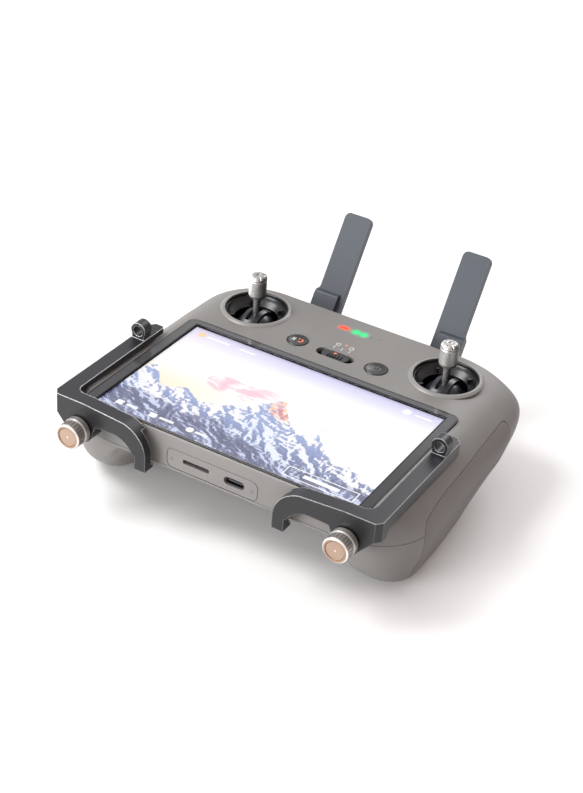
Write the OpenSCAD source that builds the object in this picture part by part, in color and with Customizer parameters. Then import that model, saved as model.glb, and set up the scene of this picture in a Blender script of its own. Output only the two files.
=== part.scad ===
// Handheld radio controller with a built-in screen, two thumb sticks, two folding
// antennas and a two-piece screwed-on strap bracket.
// Frame: X to the pilot's right, Y away from the pilot, Z out of the screen.
// Origin: front face of the screen glass, at the middle of the picture's near edge.

/* [Body] */
// near face of the body along Y
near_y = -1; // [-2:0.1:0]
// far face of the body along Y
far_y = 122.9; // [118:0.1:128]
// half width of the body beside the far end of the screen
half_w = 82.1; // [80:0.1:88]
// half width of the body over the palm grips
mid_w = 83.3; // [80:0.1:88]
// half width of the flat middle of the far face
far_half = 61.1; // [55:0.1:66]
// half width of the flat near face
near_half = 56.3; // [50:0.1:62]
// depth of the grips below the screen plane
grip_d = 44.7; // [40:0.1:50]
// height of the near face, which is also the depth of the back plate at the near edge
near_h = 18.2; // [16:0.1:20]
// depth of the back plate at the far end
back_d = 24.5; // [22:0.1:27]
// wall thickness of the two shells
wall = 2.2; // [1.8:0.1:3]
// level where the front and rear shells meet
split_z = -16; // [-18:0.1:-15]
// thickness of the textured grip panels
panel_t = 1.4; // [1:0.1:1.8]

/* [Screen] */
// half width of the cover glass
glass_hx = 66; // [60:0.1:68]
// near edge of the cover glass
glass_y0 = -0.5; // [-0.8:0.1:1]
// far edge of the cover glass
glass_y1 = 78.9; // [70:0.1:82]
// thickness of the cover glass
glass_t = 1.1; // [0.7:0.1:1.5]

/* [Sticks] */
// stick position to either side of the middle
stick_x = 47.4; // [44:0.1:50]
// stick position along Y
stick_y = 102.3; // [98:0.1:104]
// depth of the stick pivot below the screen plane
pivot_z = -12; // [-14:0.1:-10]
// radius of the well opening
well_r = 13.75; // [12:0.05:15]
// outer radius of the raised rim round the well
rim_r = 15.3; // [14:0.1:17]
// height of the top of the stick cap
cap_top = 17.5; // [14:0.1:20]
// radius of the stick cap
cap_r = 4; // [3:0.1:5]

/* [Controls] */
// return button position
home_x = -18.8; // [-24:0.1:-12]
// power button position
power_x = 20.1; // [12:0.1:26]
// both round buttons along Y
button_y = 90.5; // [86:0.1:94]
// radius of the return button
home_r = 4.7; // [3:0.1:6]
// radius of the power button
power_r = 5; // [3:0.1:6]
// mode switch slot centre along X
mode_x = 0.5; // [-3:0.1:3]
// mode switch slot centre along Y
mode_y = 89.5; // [86:0.1:92]
// row of lamps along Y
lamp_y = 112; // [108:0.1:116]
// dial centre to either side
dial_x = 64.5; // [62:0.1:66]
// dial centre along Y
dial_y = 117.1; // [115:0.1:119]
// dial radius
dial_r = 8; // [6:0.1:9]
// trigger button position to either side
trigger_x = 49; // [46:0.1:50]
// rear button position to either side
rear_x = 43.6; // [42:0.1:45]
// rear buttons along Y
rear_y = 81; // [79:0.1:84]

/* [Antennas] */
// antenna centre to either side
antenna_x = 30.4; // [29:0.1:31]
// antenna hinge along Y
hinge_y = 127; // [125:0.1:130]
// antenna hinge along Z
hinge_z = -27.5; // [-30:0.1:-26]
// antenna length from the hinge
antenna_len = 65.7; // [55:0.1:75]
// angle of the antennas above the screen plane
antenna_tilt = 57; // [0:1:90]
// hinge pin radius
pin_r = 1.5; // [1:0.05:2]

/* [Bracket] */
// thumb screw to either side
knob_x = 61.9; // [58:0.1:64]
// thumb screw height
knob_z = -9.7; // [-12:0.1:-8]
// thumb screw knob radius
knob_r = 5.7; // [4.5:0.1:7]
// outer face of the bracket's front wall
bar_y = -8; // [-10:0.1:-6]
// top of the bracket
bar_top = 2.7; // [2:0.1:4]
// outer half width of the bracket
arm_x = 75.5; // [72:0.1:78]
// inner edge of the side arm
arm_in = 68.5; // [66.5:0.1:70]
// far end of the side arm
arm_y = 61; // [50:0.5:66]
// centre of the strap eye along Y
eye_y = 48.5; // [44:0.5:56]
// radius of the strap eye hole
eye_r = 2.3; // [1.8:0.05:2.5]

/* [Hidden] */
$fn = 48;
nudge = 0.01;      // hair's breadth between neighbouring faces
gap = 0.05;        // clearance between fitted parts
bore_gap = 0.06;   // clearance round an axle, pin or screw
button_gap = 0.2;  // clearance round the round buttons
// display stack outline
display_hx = 63.5;
display_y0 = 2;
display_y1 = 77;
// screw posts, [x, y] on the right side
post_near = [41, 14];
post_mid = [41, 71];
post_far = [14, 116];
post_r = 3.2;
post_hole_r = 1.15;
// gimbal can radii
can_r = 13.6;
can_in = 12.4;
// lamp centres along X
warm_xs = [-8.8, -6.5];
green_xs = [-1.7, 2.3];
spare_xs = [6.5, 10.2];
// other control positions and axles
trigger_z = -9;
dial_axle_r = 1;

// colours used more than once
panel_grey = [0.33, 0.31, 0.30];
board_green = [0.05, 0.25, 0.16];
cell_blue = [0.1, 0.3, 0.5];
port_metal = [0.7, 0.71, 0.73];
steel = [0.6, 0.6, 0.62];
can_black = [0.13, 0.13, 0.14];
yoke_black = [0.2, 0.2, 0.21];
dome_black = [0.06, 0.06, 0.07];
cap_steel = [0.75, 0.75, 0.76];
button_black = [0.12, 0.12, 0.13];
dial_black = [0.1, 0.1, 0.11];
antenna_grey = [0.24, 0.26, 0.29];
bracket_black = [0.07, 0.07, 0.08];
knob_copper = [0.72, 0.5, 0.42];
collar_grey = [0.5, 0.51, 0.53];

NODES = ["front_shell", "rear_shell", "left_grip_panel", "right_grip_panel",
  "screen_glass", "display_panel", "display_frame", "main_board", "control_board",
  "heat_sink", "fan_housing", "fan_impeller", "left_cell", "right_cell", "speaker",
  "usb_c_port", "card_slot", "warm_lamps", "green_lamps", "spare_lamps",
  "left_gimbal_can", "right_gimbal_can", "left_yoke", "right_yoke",
  "left_stick", "right_stick", "left_stick_dome", "right_stick_dome",
  "left_stick_cap", "right_stick_cap", "home_button", "power_button", "mode_slider",
  "record_button", "shutter_button", "tilt_dial", "camera_dial", "dial_axles",
  "left_rear_button", "right_rear_button", "left_antenna", "right_antenna",
  "left_antenna_pin", "right_antenna_pin", "case_screws", "threaded_inserts",
  "left_bracket", "right_bracket", "bracket_pads", "left_thumb_screw",
  "right_thumb_screw", "left_screw_collar", "right_screw_collar"];
node = "all";

// ---------------------------------------------------------------- helpers
module left_side() mirror([1, 0, 0]) children();
module both_sides() {
  children();
  left_side() children();
}
// copies spaced evenly round Z
module around(count, start = 0)
  for (i = [0:count - 1]) rotate([0, 0, start + i * 360 / count]) children();

module cyl_x(r, x0, x1, y = 0, z = 0)
  translate([x0, y, z]) rotate([0, 90, 0]) cylinder(r = r, h = x1 - x0);
module cyl_y(r, y0, y1, x = 0, z = 0)
  translate([x, y0, z]) rotate([-90, 0, 0]) cylinder(r = r, h = y1 - y0);
module cyl_z(r, z0, z1, x = 0, y = 0)
  translate([x, y, z0]) cylinder(r = r, h = z1 - z0);
module posts(at, r, z0, z1) both_sides() cyl_z(r, z0, z1, at.x, at.y);

// extrude a (Y, Z) outline along X, or an (X, Z) outline along Y
module extrude_x(x0, x1)
  translate([x0, 0, 0]) rotate([90, 0, 90]) linear_extrude(x1 - x0) children();
module extrude_y(y0, y1)
  translate([0, y1, 0]) rotate([90, 0, 0]) linear_extrude(y1 - y0) children();

module box(x0, x1, y0, y1, z0, z1)
  translate([x0, y0, z0]) cube([x1 - x0, y1 - y0, z1 - z0]);
module rounded_rect(x0, x1, y0, y1, r) {
  translate([x0 + r, y0]) square([x1 - x0 - 2 * r, y1 - y0]);
  translate([x0, y0 + r]) square([x1 - x0, y1 - y0 - 2 * r]);
  for (x = [x0 + r, x1 - r]) for (y = [y0 + r, y1 - r]) translate([x, y]) circle(r);
}
// slabs with corners rounded in XY, given by edges or by centre and half sizes
module slab(x0, x1, y0, y1, z0, z1, r)
  translate([0, 0, z0]) linear_extrude(z1 - z0) rounded_rect(x0, x1, y0, y1, r);
module slab_at(x, y, half_x, half_y, z0, z1, r)
  slab(x - half_x, x + half_x, y - half_y, y + half_y, z0, z1, r);
// slab with corners rounded in XZ
module slab_y(x0, x1, z0, z1, y0, y1, r) extrude_y(y0, y1) rounded_rect(x0, x1, z0, z1, r);

// ---------------------------------------------------------------- body surface
far_round_y = 90;   // the plan narrows beyond here
near_round_y = 25;  // the plan narrows short of here
grip_round_y = 27;  // the grips rise to the near face short of here
grip_start_y = 1.2;

function smooth(from, to, t) =
  let (u = min(1, max(0, (t - from) / (to - from)))) u * u * (3 - 2 * u);
function safe_pow(base, power) = base <= 0 ? 0 : pow(base, power);

function half_width(y) =
  y > far_round_y
    ? far_half + (half_w - far_half)
      * safe_pow(1 - safe_pow((y - far_round_y) / (far_y - far_round_y), 2.08), 1 / 4.4)
  : y < near_round_y
    ? near_half + (mid_w - near_half)
      * sqrt(max(0, 1 - pow((near_round_y - y) / (near_round_y - near_y), 2)))
  : mid_w - (mid_w - half_w) * smooth(near_round_y, 80, y);
function grip_depth(y) =
  y < grip_round_y
    ? near_h + (grip_d - near_h) * sqrt(max(0,
      1 - pow((grip_round_y - max(y, grip_start_y)) / (grip_round_y - grip_start_y), 2)))
  : grip_d - 12.3 * smooth(grip_round_y, 100, y) - 7.3 * smooth(98, 122, y);
// back plate between the grips
function back_depth(y) =
  near_h + 4.3 * smooth(0, 26, y) + (back_d - near_h - 4.3) * smooth(30, 90, y);

function bezier(start, control, end, t) =
  (1 - t) * (1 - t) * start + 2 * t * (1 - t) * control + t * t * end;
// a corner eased into a curve that starts and ends r away from it
function corner_points(before, corner, after, r, steps) = let (
    len_in = norm(before - corner),
    len_out = norm(after - corner),
    start = corner + (before - corner) / len_in * min(r, len_in * 0.48),
    end = corner + (after - corner) / len_out * min(r, len_out * 0.48))
  [for (j = [0:steps]) bezier(start, corner, end, j / steps)];

// right half of the cross-section at y as (X, Z), drawn in from the surface by inset
function half_section(y, inset, steps) = let (
    body_y = near_y + (y - near_y - inset) * (far_y - near_y) / (far_y - near_y - 2 * inset),
    width = half_width(body_y) - inset,
    depth = grip_depth(body_y) - inset,
    back = min(back_depth(body_y) - inset, depth),
    grip_drop = depth - back,
    side = 0.24 + 0.76 * smooth(-1, 24, body_y),
    far = smooth(55, 95, body_y),
    // edge rounding at the near and far ends
    end_r = 1.8,
    to_end = min(body_y - near_y, far_y - body_y),
    edge = end_r - sqrt(max(0, end_r * end_r - pow(end_r - min(to_end, end_r), 2))),
    // grip underside, outer and inner edges, and the foot of its inner flank
    grip_out = width - 6.6 + 2.4 * smooth(22, 64, body_y) * smooth(0, 12, grip_drop),
    grip_in = min(56.4 - 4 * smooth(30, 80, body_y) + inset, grip_out - 8),
    flank_x = grip_in - 9 * smooth(0, 20, grip_drop),
    corners = [
      [0, -edge - inset],
      [max(width - (13 + 3.7 * far) * side - edge, 10), -edge - inset],
      [width + 0.7 * side, -(6 + 5.6 * side - 2.4 * smooth(98, 118, body_y)) - inset * 0.3],
      [width - 0.4 - 1.85 * side, -(depth * 0.59 + 4)],
      [grip_out, -depth + edge],
      [grip_in, -depth + edge],
      [flank_x - 4, -back + edge],
      [0, -back + edge]],
    // easing of the six corners between the two ends
    radii = [(9 * side + 2) * (0.6 + 0.4 * far), 9, 12, 15, 10, 10])
  concat(
    [corners[0]],
    [for (i = [1:6])
      each corner_points(corners[i - 1], corners[i], corners[i + 1], radii[i - 1], steps)],
    [corners[7]]);

function ring(y, inset, steps) = let (
    half = half_section(y, inset, steps),
    count = len(half))
  concat([for (p = half) [p[0], y, p[1]]],
    [for (i = [count - 2:-1:1]) [-half[i][0], y, half[i][1]]]);

// skin over the rings, each end closed by a fan round a point in its middle
module loft(inset, stations, steps) {
  rings = [for (y = stations) ring(y, inset, steps)];
  count = len(rings[0]);
  last = len(rings) - 1;
  near_tip = (last + 1) * count;
  polyhedron(
    points = concat([for (r = rings) each r],
      [[0, stations[0], -9]], [[0, stations[last], -13]]),
    faces = concat(
      [for (j = [0:count - 1]) [near_tip, j, (j + 1) % count]],
      [for (j = [0:count - 1]) [near_tip + 1, last * count + (j + 1) % count, last * count + j]],
      [for (i = [0:last - 1]) for (j = [0:count - 1])
        let (a = i * count + j, b = i * count + (j + 1) % count)
        each [[a, a + count, b + count], [a, b + count, b]]]),
    convexity = 6);
}

// ring positions along Y: fine for the outside, coarse for the cavity
outer_stations = [near_y, near_y + 0.5, near_y + 1.8, 2.6, 5, 8.5, 13, 19, 27, 40, 56, 74, 90,
  100, 107.5, 113, 117, 119.8, 121.4, far_y - 0.7, far_y - 0.2, far_y];
cavity_stations = [near_y + wall, 3, 6, 11, 18, 27, 45, 68, 90, 103, 112, 117, 119.4,
  far_y - wall - 0.3, far_y - wall];
seat_stations = [near_y + panel_t + gap, 2, 4.5, 8.5, 13, 19, 27, 40, 56, 74, 90, 100, 107.5,
  113, 118, 120.6, far_y - panel_t - gap];
module outer() loft(0, outer_stations, 3);
module cavity() loft(wall, cavity_stations, 2);
// surface the grip panels sit on
module panel_seat() loft(panel_t + gap, seat_stations, 3);

// ---------------------------------------------------------------- grip panels
panel_x = 61;  // inner limit of the panels
// side view outline (Y, Z)
panel_line = [
  [18.5, -50], [18.9, -36.3], [19.9, -31.5], [20.8, -27], [20.3, -22.5], [19.3, -17.5],
  [19.6, -13.4], [21.6, -10.8], [25.8, -9.7], [34.8, -8.9], [45.1, -8.5], [65.8, -8.5],
  [88.2, -8.3], [94.3, -8.1], [98.1, -8.2], [99.9, -9.2], [99.6, -11.2], [98, -13.5],
  [96.9, -16.5], [96.6, -20.5], [96.2, -24.2], [94.2, -25.7], [89.3, -25.7], [82.6, -25.6],
  [74, -26.4], [66, -29], [60, -34], [57, -50]];

function unit(v) = v / max(norm(v), 1e-9);
// outline with each point moved out along its normal
function grow(outline, amount) = [for (i = [0:len(outline) - 1]) let (
    before = outline[(i + len(outline) - 1) % len(outline)],
    after = outline[(i + 1) % len(outline)],
    along = unit(outline[i] - before) + unit(after - outline[i]))
  outline[i] + amount * unit([-along[1], along[0]])];

module panel_prism(margin)
  extrude_x(panel_x - margin, panel_x - margin + 40) polygon(grow(panel_line, margin));
module panel_recesses() both_sides() difference() {
  panel_prism(0.12);
  panel_seat();
}
module grip_panel() difference() {
  intersection() {
    outer();
    panel_prism(0);
  }
  loft(panel_t, seat_stations, 3);
}
module right_grip_panel() color(panel_grey) grip_panel();
module left_grip_panel() color(panel_grey) left_side() grip_panel();

// ---------------------------------------------------------------- shells
// cavity, less the bosses and posts given as children
module hollow() difference() {
  cavity();
  children();
}

rim_in = 14;
module stick_rim() translate([stick_x, stick_y, 0]) rotate_extrude()
  polygon([[rim_in, -1], [rim_r + 0.4, -1], [rim_r, 0], [rim_r - 0.35, 0.7],
    [rim_r - 0.9, 0.9], [rim_in + 0.4, 0.9], [rim_in, 0.6]]);

module front_body() difference() {
  outer();
  hollow() {
    both_sides() {
      cyl_y(4.6, 0, 8, knob_x, knob_z);
      cyl_z(15, -5.2, 0.8, stick_x, stick_y);
      cyl_z(2.6, -8.4, 0.6, dial_x, dial_y);
    }
    posts(post_far, post_r, split_z, 0);
  }
  box(-100, 100, -20, 150, -60, split_z);
  panel_recesses();
}

module front_shell() color([0.42, 0.40, 0.38]) difference() {
  union() {
    front_body();
    both_sides() stick_rim();
  }
  // glass pocket and display window
  slab(-glass_hx - 0.1, glass_hx + 0.1, glass_y0 - 0.1, glass_y1 + 0.1, -glass_t - gap, 5, 3.1);
  box(-display_hx - 0.1, display_hx + 0.1, display_y0 - 0.1, display_y1 + 0.1, -8, 5);
  // round buttons, mode slot, lamps
  cyl_z(home_r + button_gap, -6, 4, home_x, button_y);
  cyl_z(power_r + button_gap, -6, 4, power_x, button_y);
  slab_at(mode_x, mode_y, 9, 3, -6, 5, 2.99);
  lamp_row(concat(warm_xs, green_xs, spare_xs), -6, 5, gap);
  // USB-C and card openings in the near face
  slab_y(3.1, 12.6, -13.2, -9.5, -3, 4, 1.8);
  slab_y(-16.3, -3.9, -12, -10, -3, 4, 0.7);
  // shallow outline groove on the near face
  difference() {
    slab_y(-24, 19, -16.2, -6.6, -3, near_y + 0.25, 3);
    slab_y(-23.6, 18.6, -15.8, -7, -4, 4, 2.6);
  }
  both_sides() {
    // stick well
    cyl_z(well_r, -8, 4, stick_x, stick_y);
    // bracket screw insert
    cyl_y(2.4, -3, 7, knob_x, knob_z);
    // dial opening and axle hole
    cyl_z(dial_r + 0.4, -15.4, -8.6, dial_x, dial_y);
    cyl_z(dial_axle_r, -15.4, -3.4, dial_x, dial_y);
    // trigger button and its flange
    cyl_y(4.7, 116, 130, trigger_x, trigger_z);
    cyl_y(5.6, 117, 119.95, trigger_x, trigger_z);
  }
  // screw holes in the far posts
  posts(post_far, post_hole_r, split_z - 1, -9);
}

// the two antenna hinge lugs on the right, as [inner, outer] along X
lugs = [[18.9, 23.3], [38.3, 42.7]];
// lug side outline (Y, Z)
lug_line = [[120.8, -18.5], [123.4, -18.5], [130.2, -24.6], [129.6, -31.0], [126, -31.3],
  [121.5, -24], [120.8, -23]];
module lug(x0, x1) {
  extrude_x(x0, x1) polygon(lug_line);
  cyl_x(4.2, x0, x1, hinge_y, hinge_z);
}

// row of slots through the back plate, each_side of them beside the middle one
module slots(each_side, pitch, half_x, y, half_y, r)
  for (i = [-each_side:each_side]) slab_at(i * pitch, y, half_x, half_y, -40, -10, r);

module rear_body() difference() {
  outer();
  hollow() for (p = [post_near, post_mid, post_far]) posts(p, post_r, -30, split_z);
  box(-100, 100, -20, 150, split_z - gap, 20);
  panel_recesses();
}

module rear_shell() color([0.40, 0.38, 0.36]) difference() {
  union() {
    rear_body();
    both_sides() for (span = lugs) lug(span[0], span[1]);
  }
  // screw holes with counterbores
  for (p = [post_near, post_mid, post_far]) {
    posts(p, 1.25, -40, 0);
    posts(p, 2.8, -40, -18.8);
  }
  both_sides() {
    cyl_x(pin_r, 17.5, 44, hinge_y, hinge_z);
    cyl_z(3.8, -40, -10, rear_x, rear_y);
  }
  // over the fan, then over the speaker
  slots(each_side = 4, pitch = 4.4, half_x = 0.9, y = 55, half_y = 9, r = 0.85);
  slots(each_side = 3, pitch = 3, half_x = 0.6, y = 31, half_y = 3, r = 0.55);
}

// ---------------------------------------------------------------- screen stack
module screen_glass() color([0.03, 0.03, 0.04])
  slab(-glass_hx, glass_hx, glass_y0, glass_y1, -glass_t, 0, 3);
module display_panel() color([0.65, 0.68, 0.8])
  slab(-display_hx + 0.3, display_hx - 0.3, display_y0 + 0.2, display_y1 - 0.2,
    -3.2, -glass_t - gap, 1);
module display_frame() color([0.62, 0.63, 0.65]) difference() {
  union() {
    slab(-display_hx, display_hx, display_y0, display_y1, -4.4, -3.25, 2);
    for (p = [post_near, post_mid]) posts(p, post_r, split_z + gap, -4.3);
  }
  for (p = [post_near, post_mid]) posts(p, post_hole_r, split_z - 1, -7);
}

// ---------------------------------------------------------------- electronics
board_top = -8.2;
module main_board() color(board_green) {
  slab(-36, 36, 3, 76, -9.4, board_top, 2);
  // chips
  slab(-12, 12, 44, 60, board_top + nudge, -6.4, 0.5);
  slab(16, 30, 48, 60, board_top + nudge, -7, 0.5);
  slab(-30, -18, 50, 60, board_top + nudge, -7, 0.5);
}
module heat_sink() color(steel) slab(-16, 16, 42, 68, -10.6, -9.45, 1);
// board with raised blocks under the buttons and the mode switch, cut round the gimbals
module control_board() color(board_green) difference() {
  union() {
    slab(-30, 30, 83, 112.3, -7.8, -6.6, 2);
    for (x = [home_x, power_x]) slab_at(x, button_y, 1.8, 1.8, -6.7, -5.7, 0.3);
    slab_at(mode_x, mode_y, 7.5, 2, -6.7, -5.6, 0.3);
  }
  both_sides() cyl_z(can_r + 1.8, -9, -3, stick_x, stick_y);
}

fan_y = 56;
fan_z = -18.4;     // underside of the housing
fan_floor = 0.8;
hub_z0 = -17.4;    // impeller hub and blades, bottom and top
hub_z1 = -12.8;
module fan_housing() color([0.08, 0.08, 0.09]) {
  difference() {
    slab_at(0, fan_y, 18, 18, fan_z, -12.2, 3);
    cyl_z(15.4, fan_z + fan_floor, -9.6, 0, fan_y);
    cyl_z(11, -20, -16, 0, fan_y);
    // outlet through the left wall
    box(-30, -10, 62, 72, fan_z + fan_floor, -13);
  }
  // spokes, hub and pin
  translate([0, fan_y, fan_z]) {
    around(3, 45) box(0, 12, -0.8, 0.8, 0, fan_floor);
    cylinder(r = 3, h = fan_floor);
    cylinder(r = 0.9, h = 5.2);
  }
}
module fan_impeller() color(button_black) translate([0, fan_y, 0]) difference() {
  union() {
    cyl_z(5.5, hub_z0, hub_z1);
    around(9) translate([9.6, 0, -17.2]) rotate([0, 0, 32]) cube([11, 0.8, 8.4], center = true);
  }
  cyl_z(0.95, -20, 0);
  // trim the blades level with the hub
  cyl_z(20, -24, hub_z0);
  cyl_z(20, hub_z1, -6.2);
}

cell_x = 62.2;
cell_z = -22.8;
cell_end = 74.5;
module cell() {
  cyl_y(9.05, 10.5, cell_end, cell_x, cell_z);
  cyl_y(2.8, cell_end - nudge, cell_end + 1, cell_x, cell_z);
}
module right_cell() color(cell_blue) cell();
module left_cell() color(cell_blue) left_side() cell();

module speaker() color([0.1, 0.1, 0.1]) difference() {
  slab(-12, 12, 24, 37, -17, -11.6, 2);
  slab(-8, 8, 26.5, 34.5, -18, -16.2, 3);
}
module usb_c_port() color(port_metal) {
  difference() {
    slab_y(3.4, 12.3, -13, -9.8, -0.3, 7.4, 1.5);
    slab_y(3.75, 11.95, -12.65, -10.15, -1, 6.6, 1.2);
  }
  // tongue
  box(4.5, 11.2, 0.3, 7, -11.75, -11.05);
}
module card_slot() color(port_metal) difference() {
  box(-17.2, -3, 1.3, 16, -12.2, -9.8);
  box(-15.9, -4.3, 0, 15, -11.7, -10.3);
}

// ---------------------------------------------------------------- lamps
module lamp_row(xs, z0 = -6.5, z1 = -0.05, margin = 0)
  for (x = xs) slab_at(x, lamp_y, 0.9 + margin, 1.1 + margin, z0, z1, 0.85 + margin);
module warm_lamps() color([1, 0.35, 0.1]) lamp_row(warm_xs);
module green_lamps() color([0.1, 0.9, 0.5]) lamp_row(green_xs);
module spare_lamps() color([0.2, 0.2, 0.2]) lamp_row(spare_xs);

// ---------------------------------------------------------------- stick gimbals
yoke_axle_r = 1.5;
stick_axle_r = 1.2;
shaft_r = 1.55;
module at_pivot() translate([stick_x, stick_y, pivot_z]) children();

// cup with a sloping collar inside its mouth and four ribs on the collar
module gimbal_can() at_pivot() difference() {
  union() {
    rotate_extrude() polygon([[0, -9.6], [can_r, -9.6], [can_r, 11.5], [can_r - 0.4, 11.5],
      [can_r - 0.7, 10.6], [9.9, 7.7], [10.4, 6.9], [can_in, 8.6], [can_in, -8.4], [0, -8.4]]);
    around(4, 45) box(10, 13, -0.45, 0.45, 8, 10.4);
  }
  cyl_y(yoke_axle_r + bore_gap, -15, 15);
}
module right_gimbal_can() color(can_black) gimbal_can();
module left_gimbal_can() color(can_black) left_side() gimbal_can();

// ring on two stub axles along Y, with a slotted arch over the stick dome
module yoke() at_pivot() difference() {
  union() {
    difference() {
      cyl_z(11.6, -2, 2);
      cyl_z(10.1, -3, 3);
    }
    cyl_y(yoke_axle_r, 10.9, 13.2);
    cyl_y(yoke_axle_r, -13.2, -10.9);
    intersection() {
      difference() {
        sphere(r = 11.5);
        sphere(r = 10.2);
      }
      box(-4, 4, -12, 12, 0.5, 12.5);
    }
  }
  box(-1.9, 1.9, -6.6, 6.6, 4, 16);
  cyl_x(stick_axle_r + bore_gap, -14, 14);
}
module right_yoke() color(yoke_black) yoke();
module left_yoke() color(yoke_black) left_side() yoke();

module stick() at_pivot() {
  cyl_x(stick_axle_r, -11.4, 11.4);
  sphere(r = 3);
  cylinder(r = shaft_r, h = 24.5);
}
module right_stick() color(steel) stick();
module left_stick() color(steel) left_side() stick();

module stick_dome() at_pivot() difference() {
  sphere(r = 9.9);
  sphere(r = 9.1);
  box(-20, 20, -20, 20, -30, 4);
  cyl_z(shaft_r + gap, 0, 12);
}
module right_stick_dome() color(dome_black) stick_dome();
module left_stick_dome() color(dome_black) left_side() stick_dome();

// turned cap: plain waist, rounded crown with eight small notches
module stick_cap() translate([stick_x, stick_y, 0]) difference() {
  rotate_extrude() polygon([[0, 1.2], [2.1, 1.2], [2.1, 6.2], [cap_r - 0.5, 6.7], [cap_r, 7.5],
    [cap_r, cap_top - 2.6], [cap_r - 0.25, cap_top - 2.4], [cap_r - 0.25, cap_top - 2.1],
    [cap_r, cap_top - 1.9], [cap_r - 0.1, cap_top - 1.2], [cap_r - 0.45, cap_top - 0.55],
    [cap_r - 1.1, cap_top - 0.12], [cap_r - 1.7, cap_top], [1.2, cap_top],
    [0.9, cap_top - 0.4], [0, cap_top - 0.4]]);
  cyl_z(shaft_r + gap, -1, 13);
  around(8) box(cap_r - 1.3, cap_r + 1.7, -0.3, 0.3, cap_top - 0.7, cap_top + 1.3);
}
module right_stick_cap() color(cap_steel) stick_cap();
module left_stick_cap() color(cap_steel) left_side() stick_cap();

// ---------------------------------------------------------------- buttons, switch, dials
module round_button(x, r) translate([x, button_y, 0]) rotate_extrude()
  polygon([[0, -5.1], [1.3, -5.1], [1.3, -3.2], [r + 0.9, -3.2], [r + 0.9, -2.5], [r, -2.5],
    [r, 0], [r - 0.35, 0.3], [r - 1.2, 0.3], [r - 1.6, 0.1], [0, 0.1]]);
module home_button() color(button_black) round_button(home_x, home_r);
module power_button() color(button_black) round_button(power_x, power_r);

// flange, thumb piece with five ridges, and a nub underneath
module mode_slider() color(dial_black) {
  slab_at(mode_x, mode_y, 11.8, 4.2, -4.9, -4.1, 1.5);
  slab_at(mode_x, mode_y, 6.4, 2.8, -4.2, -0.3, 2.75);
  for (i = [-2:2]) slab_at(mode_x + i * 1.5, mode_y - 0.5, 0.35, 1.4, -0.4, 0.3, 0.3);
  slab_at(mode_x, mode_y, 1, 0.8, -5.4, -4.8, 0.4);
}

module trigger() translate([trigger_x, 118.8, trigger_z]) rotate([-90, 0, 0]) rotate_extrude()
  polygon([[0, 0], [5.4, 0], [5.4, 0.9], [4.5, 0.9], [4.5, 4.6], [3.6, 5.3], [0, 5.6]]);
module shutter_button() color(button_black) trigger();
module record_button() color(button_black) left_side() trigger();

// wheel with a grooved rim
module dial() translate([dial_x, dial_y, -15]) difference() {
  cylinder(r = dial_r, h = 6);
  cyl_z(dial_axle_r + bore_gap, -1, 7);
  around(24) cyl_z(0.7, -1, 7, dial_r + 0.25);
}
module camera_dial() color(dial_black) dial();
module tilt_dial() color(dial_black) left_side() dial();
module dial_axles() color(steel) both_sides() cyl_z(dial_axle_r, -15.9, -3.6, dial_x, dial_y);

module rear_button() translate([rear_x, rear_y, 0]) rotate_extrude()
  polygon([[0, -21], [4.5, -21], [4.5, -21.9], [3.6, -21.9], [3.6, -24.9], [3, -25.4],
    [0, -25.6]]);
module right_rear_button() color(button_black) rear_button();
module left_rear_button() color(button_black) left_side() rear_button();

// ---------------------------------------------------------------- antennas
// X limits measured from the antenna centre
paddle_in = -6.9;
paddle_out = 6.7;
root_out = 7.7;
tip_r = 2.7;

// thin paddle with rounded tip and a wider root
module paddle_outline() {
  translate([paddle_in, 0]) square([paddle_out - paddle_in, antenna_len - tip_r]);
  translate([paddle_in + tip_r, antenna_len - 6])
    square([paddle_out - paddle_in - 2 * tip_r, 6]);
  for (x = [paddle_in + tip_r, paddle_out - tip_r])
    translate([x, antenna_len - tip_r]) circle(tip_r);
  polygon([[paddle_in, 0], [root_out, 0], [root_out, 27.2], [paddle_out, 29.6],
    [paddle_in, 29.6]]);
}
// drawn lying along +Y from the hinge, then raised to the rest angle;
// the thick side faces the pilot
module antenna()
  translate([antenna_x, hinge_y, hinge_z]) rotate([antenna_tilt, 0, 0]) difference() {
    union() {
      cyl_x(4, paddle_in, root_out);
      translate([0, 0, -1.5]) linear_extrude(3) paddle_outline();
      // thick root block
      extrude_x(-4.4, root_out)
        polygon([[0, 0], [0, 3.5], [26.3, 3.5], [27.3, 3], [28.4, 1.4], [28.4, 0]]);
    }
    cyl_x(pin_r + bore_gap, -12.4, 14.6);
  }
module right_antenna() color(antenna_grey) antenna();
module left_antenna() color(antenna_grey) left_side() antenna();

module antenna_pin() cyl_x(pin_r, 19.1, 42.5, hinge_y, hinge_z);
module right_antenna_pin() color(steel) antenna_pin();
module left_antenna_pin() color(steel) left_side() antenna_pin();

// ---------------------------------------------------------------- fasteners
thumb_shank_r = 1.5;
module case_screws() color([0.2, 0.2, 0.21])
  for (p = [post_near, post_mid, post_far])
    both_sides() translate([p.x, p.y, 0]) difference() {
      union() {
        cyl_z(2.5, -20.2, -18.85);
        cyl_z(1.1, -18.9, -9.7);
      }
      // hex socket
      cyl_z(1.1, -20.3, -19.4, $fn = 6);
    }
module threaded_inserts() color([0.75, 0.6, 0.3]) both_sides() difference() {
  cyl_y(2.38, 0.8, 6.8, knob_x, knob_z);
  cyl_y(thumb_shank_r + bore_gap, 0, 8, knob_x, knob_z);
}

// ---------------------------------------------------------------- bracket
corner_x = 73.4;  // where the outer corner's bevel starts
leg_in = 29.7;
leg_out = 34.9;
eye_x = 72;
eye_half = 3.1;

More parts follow.
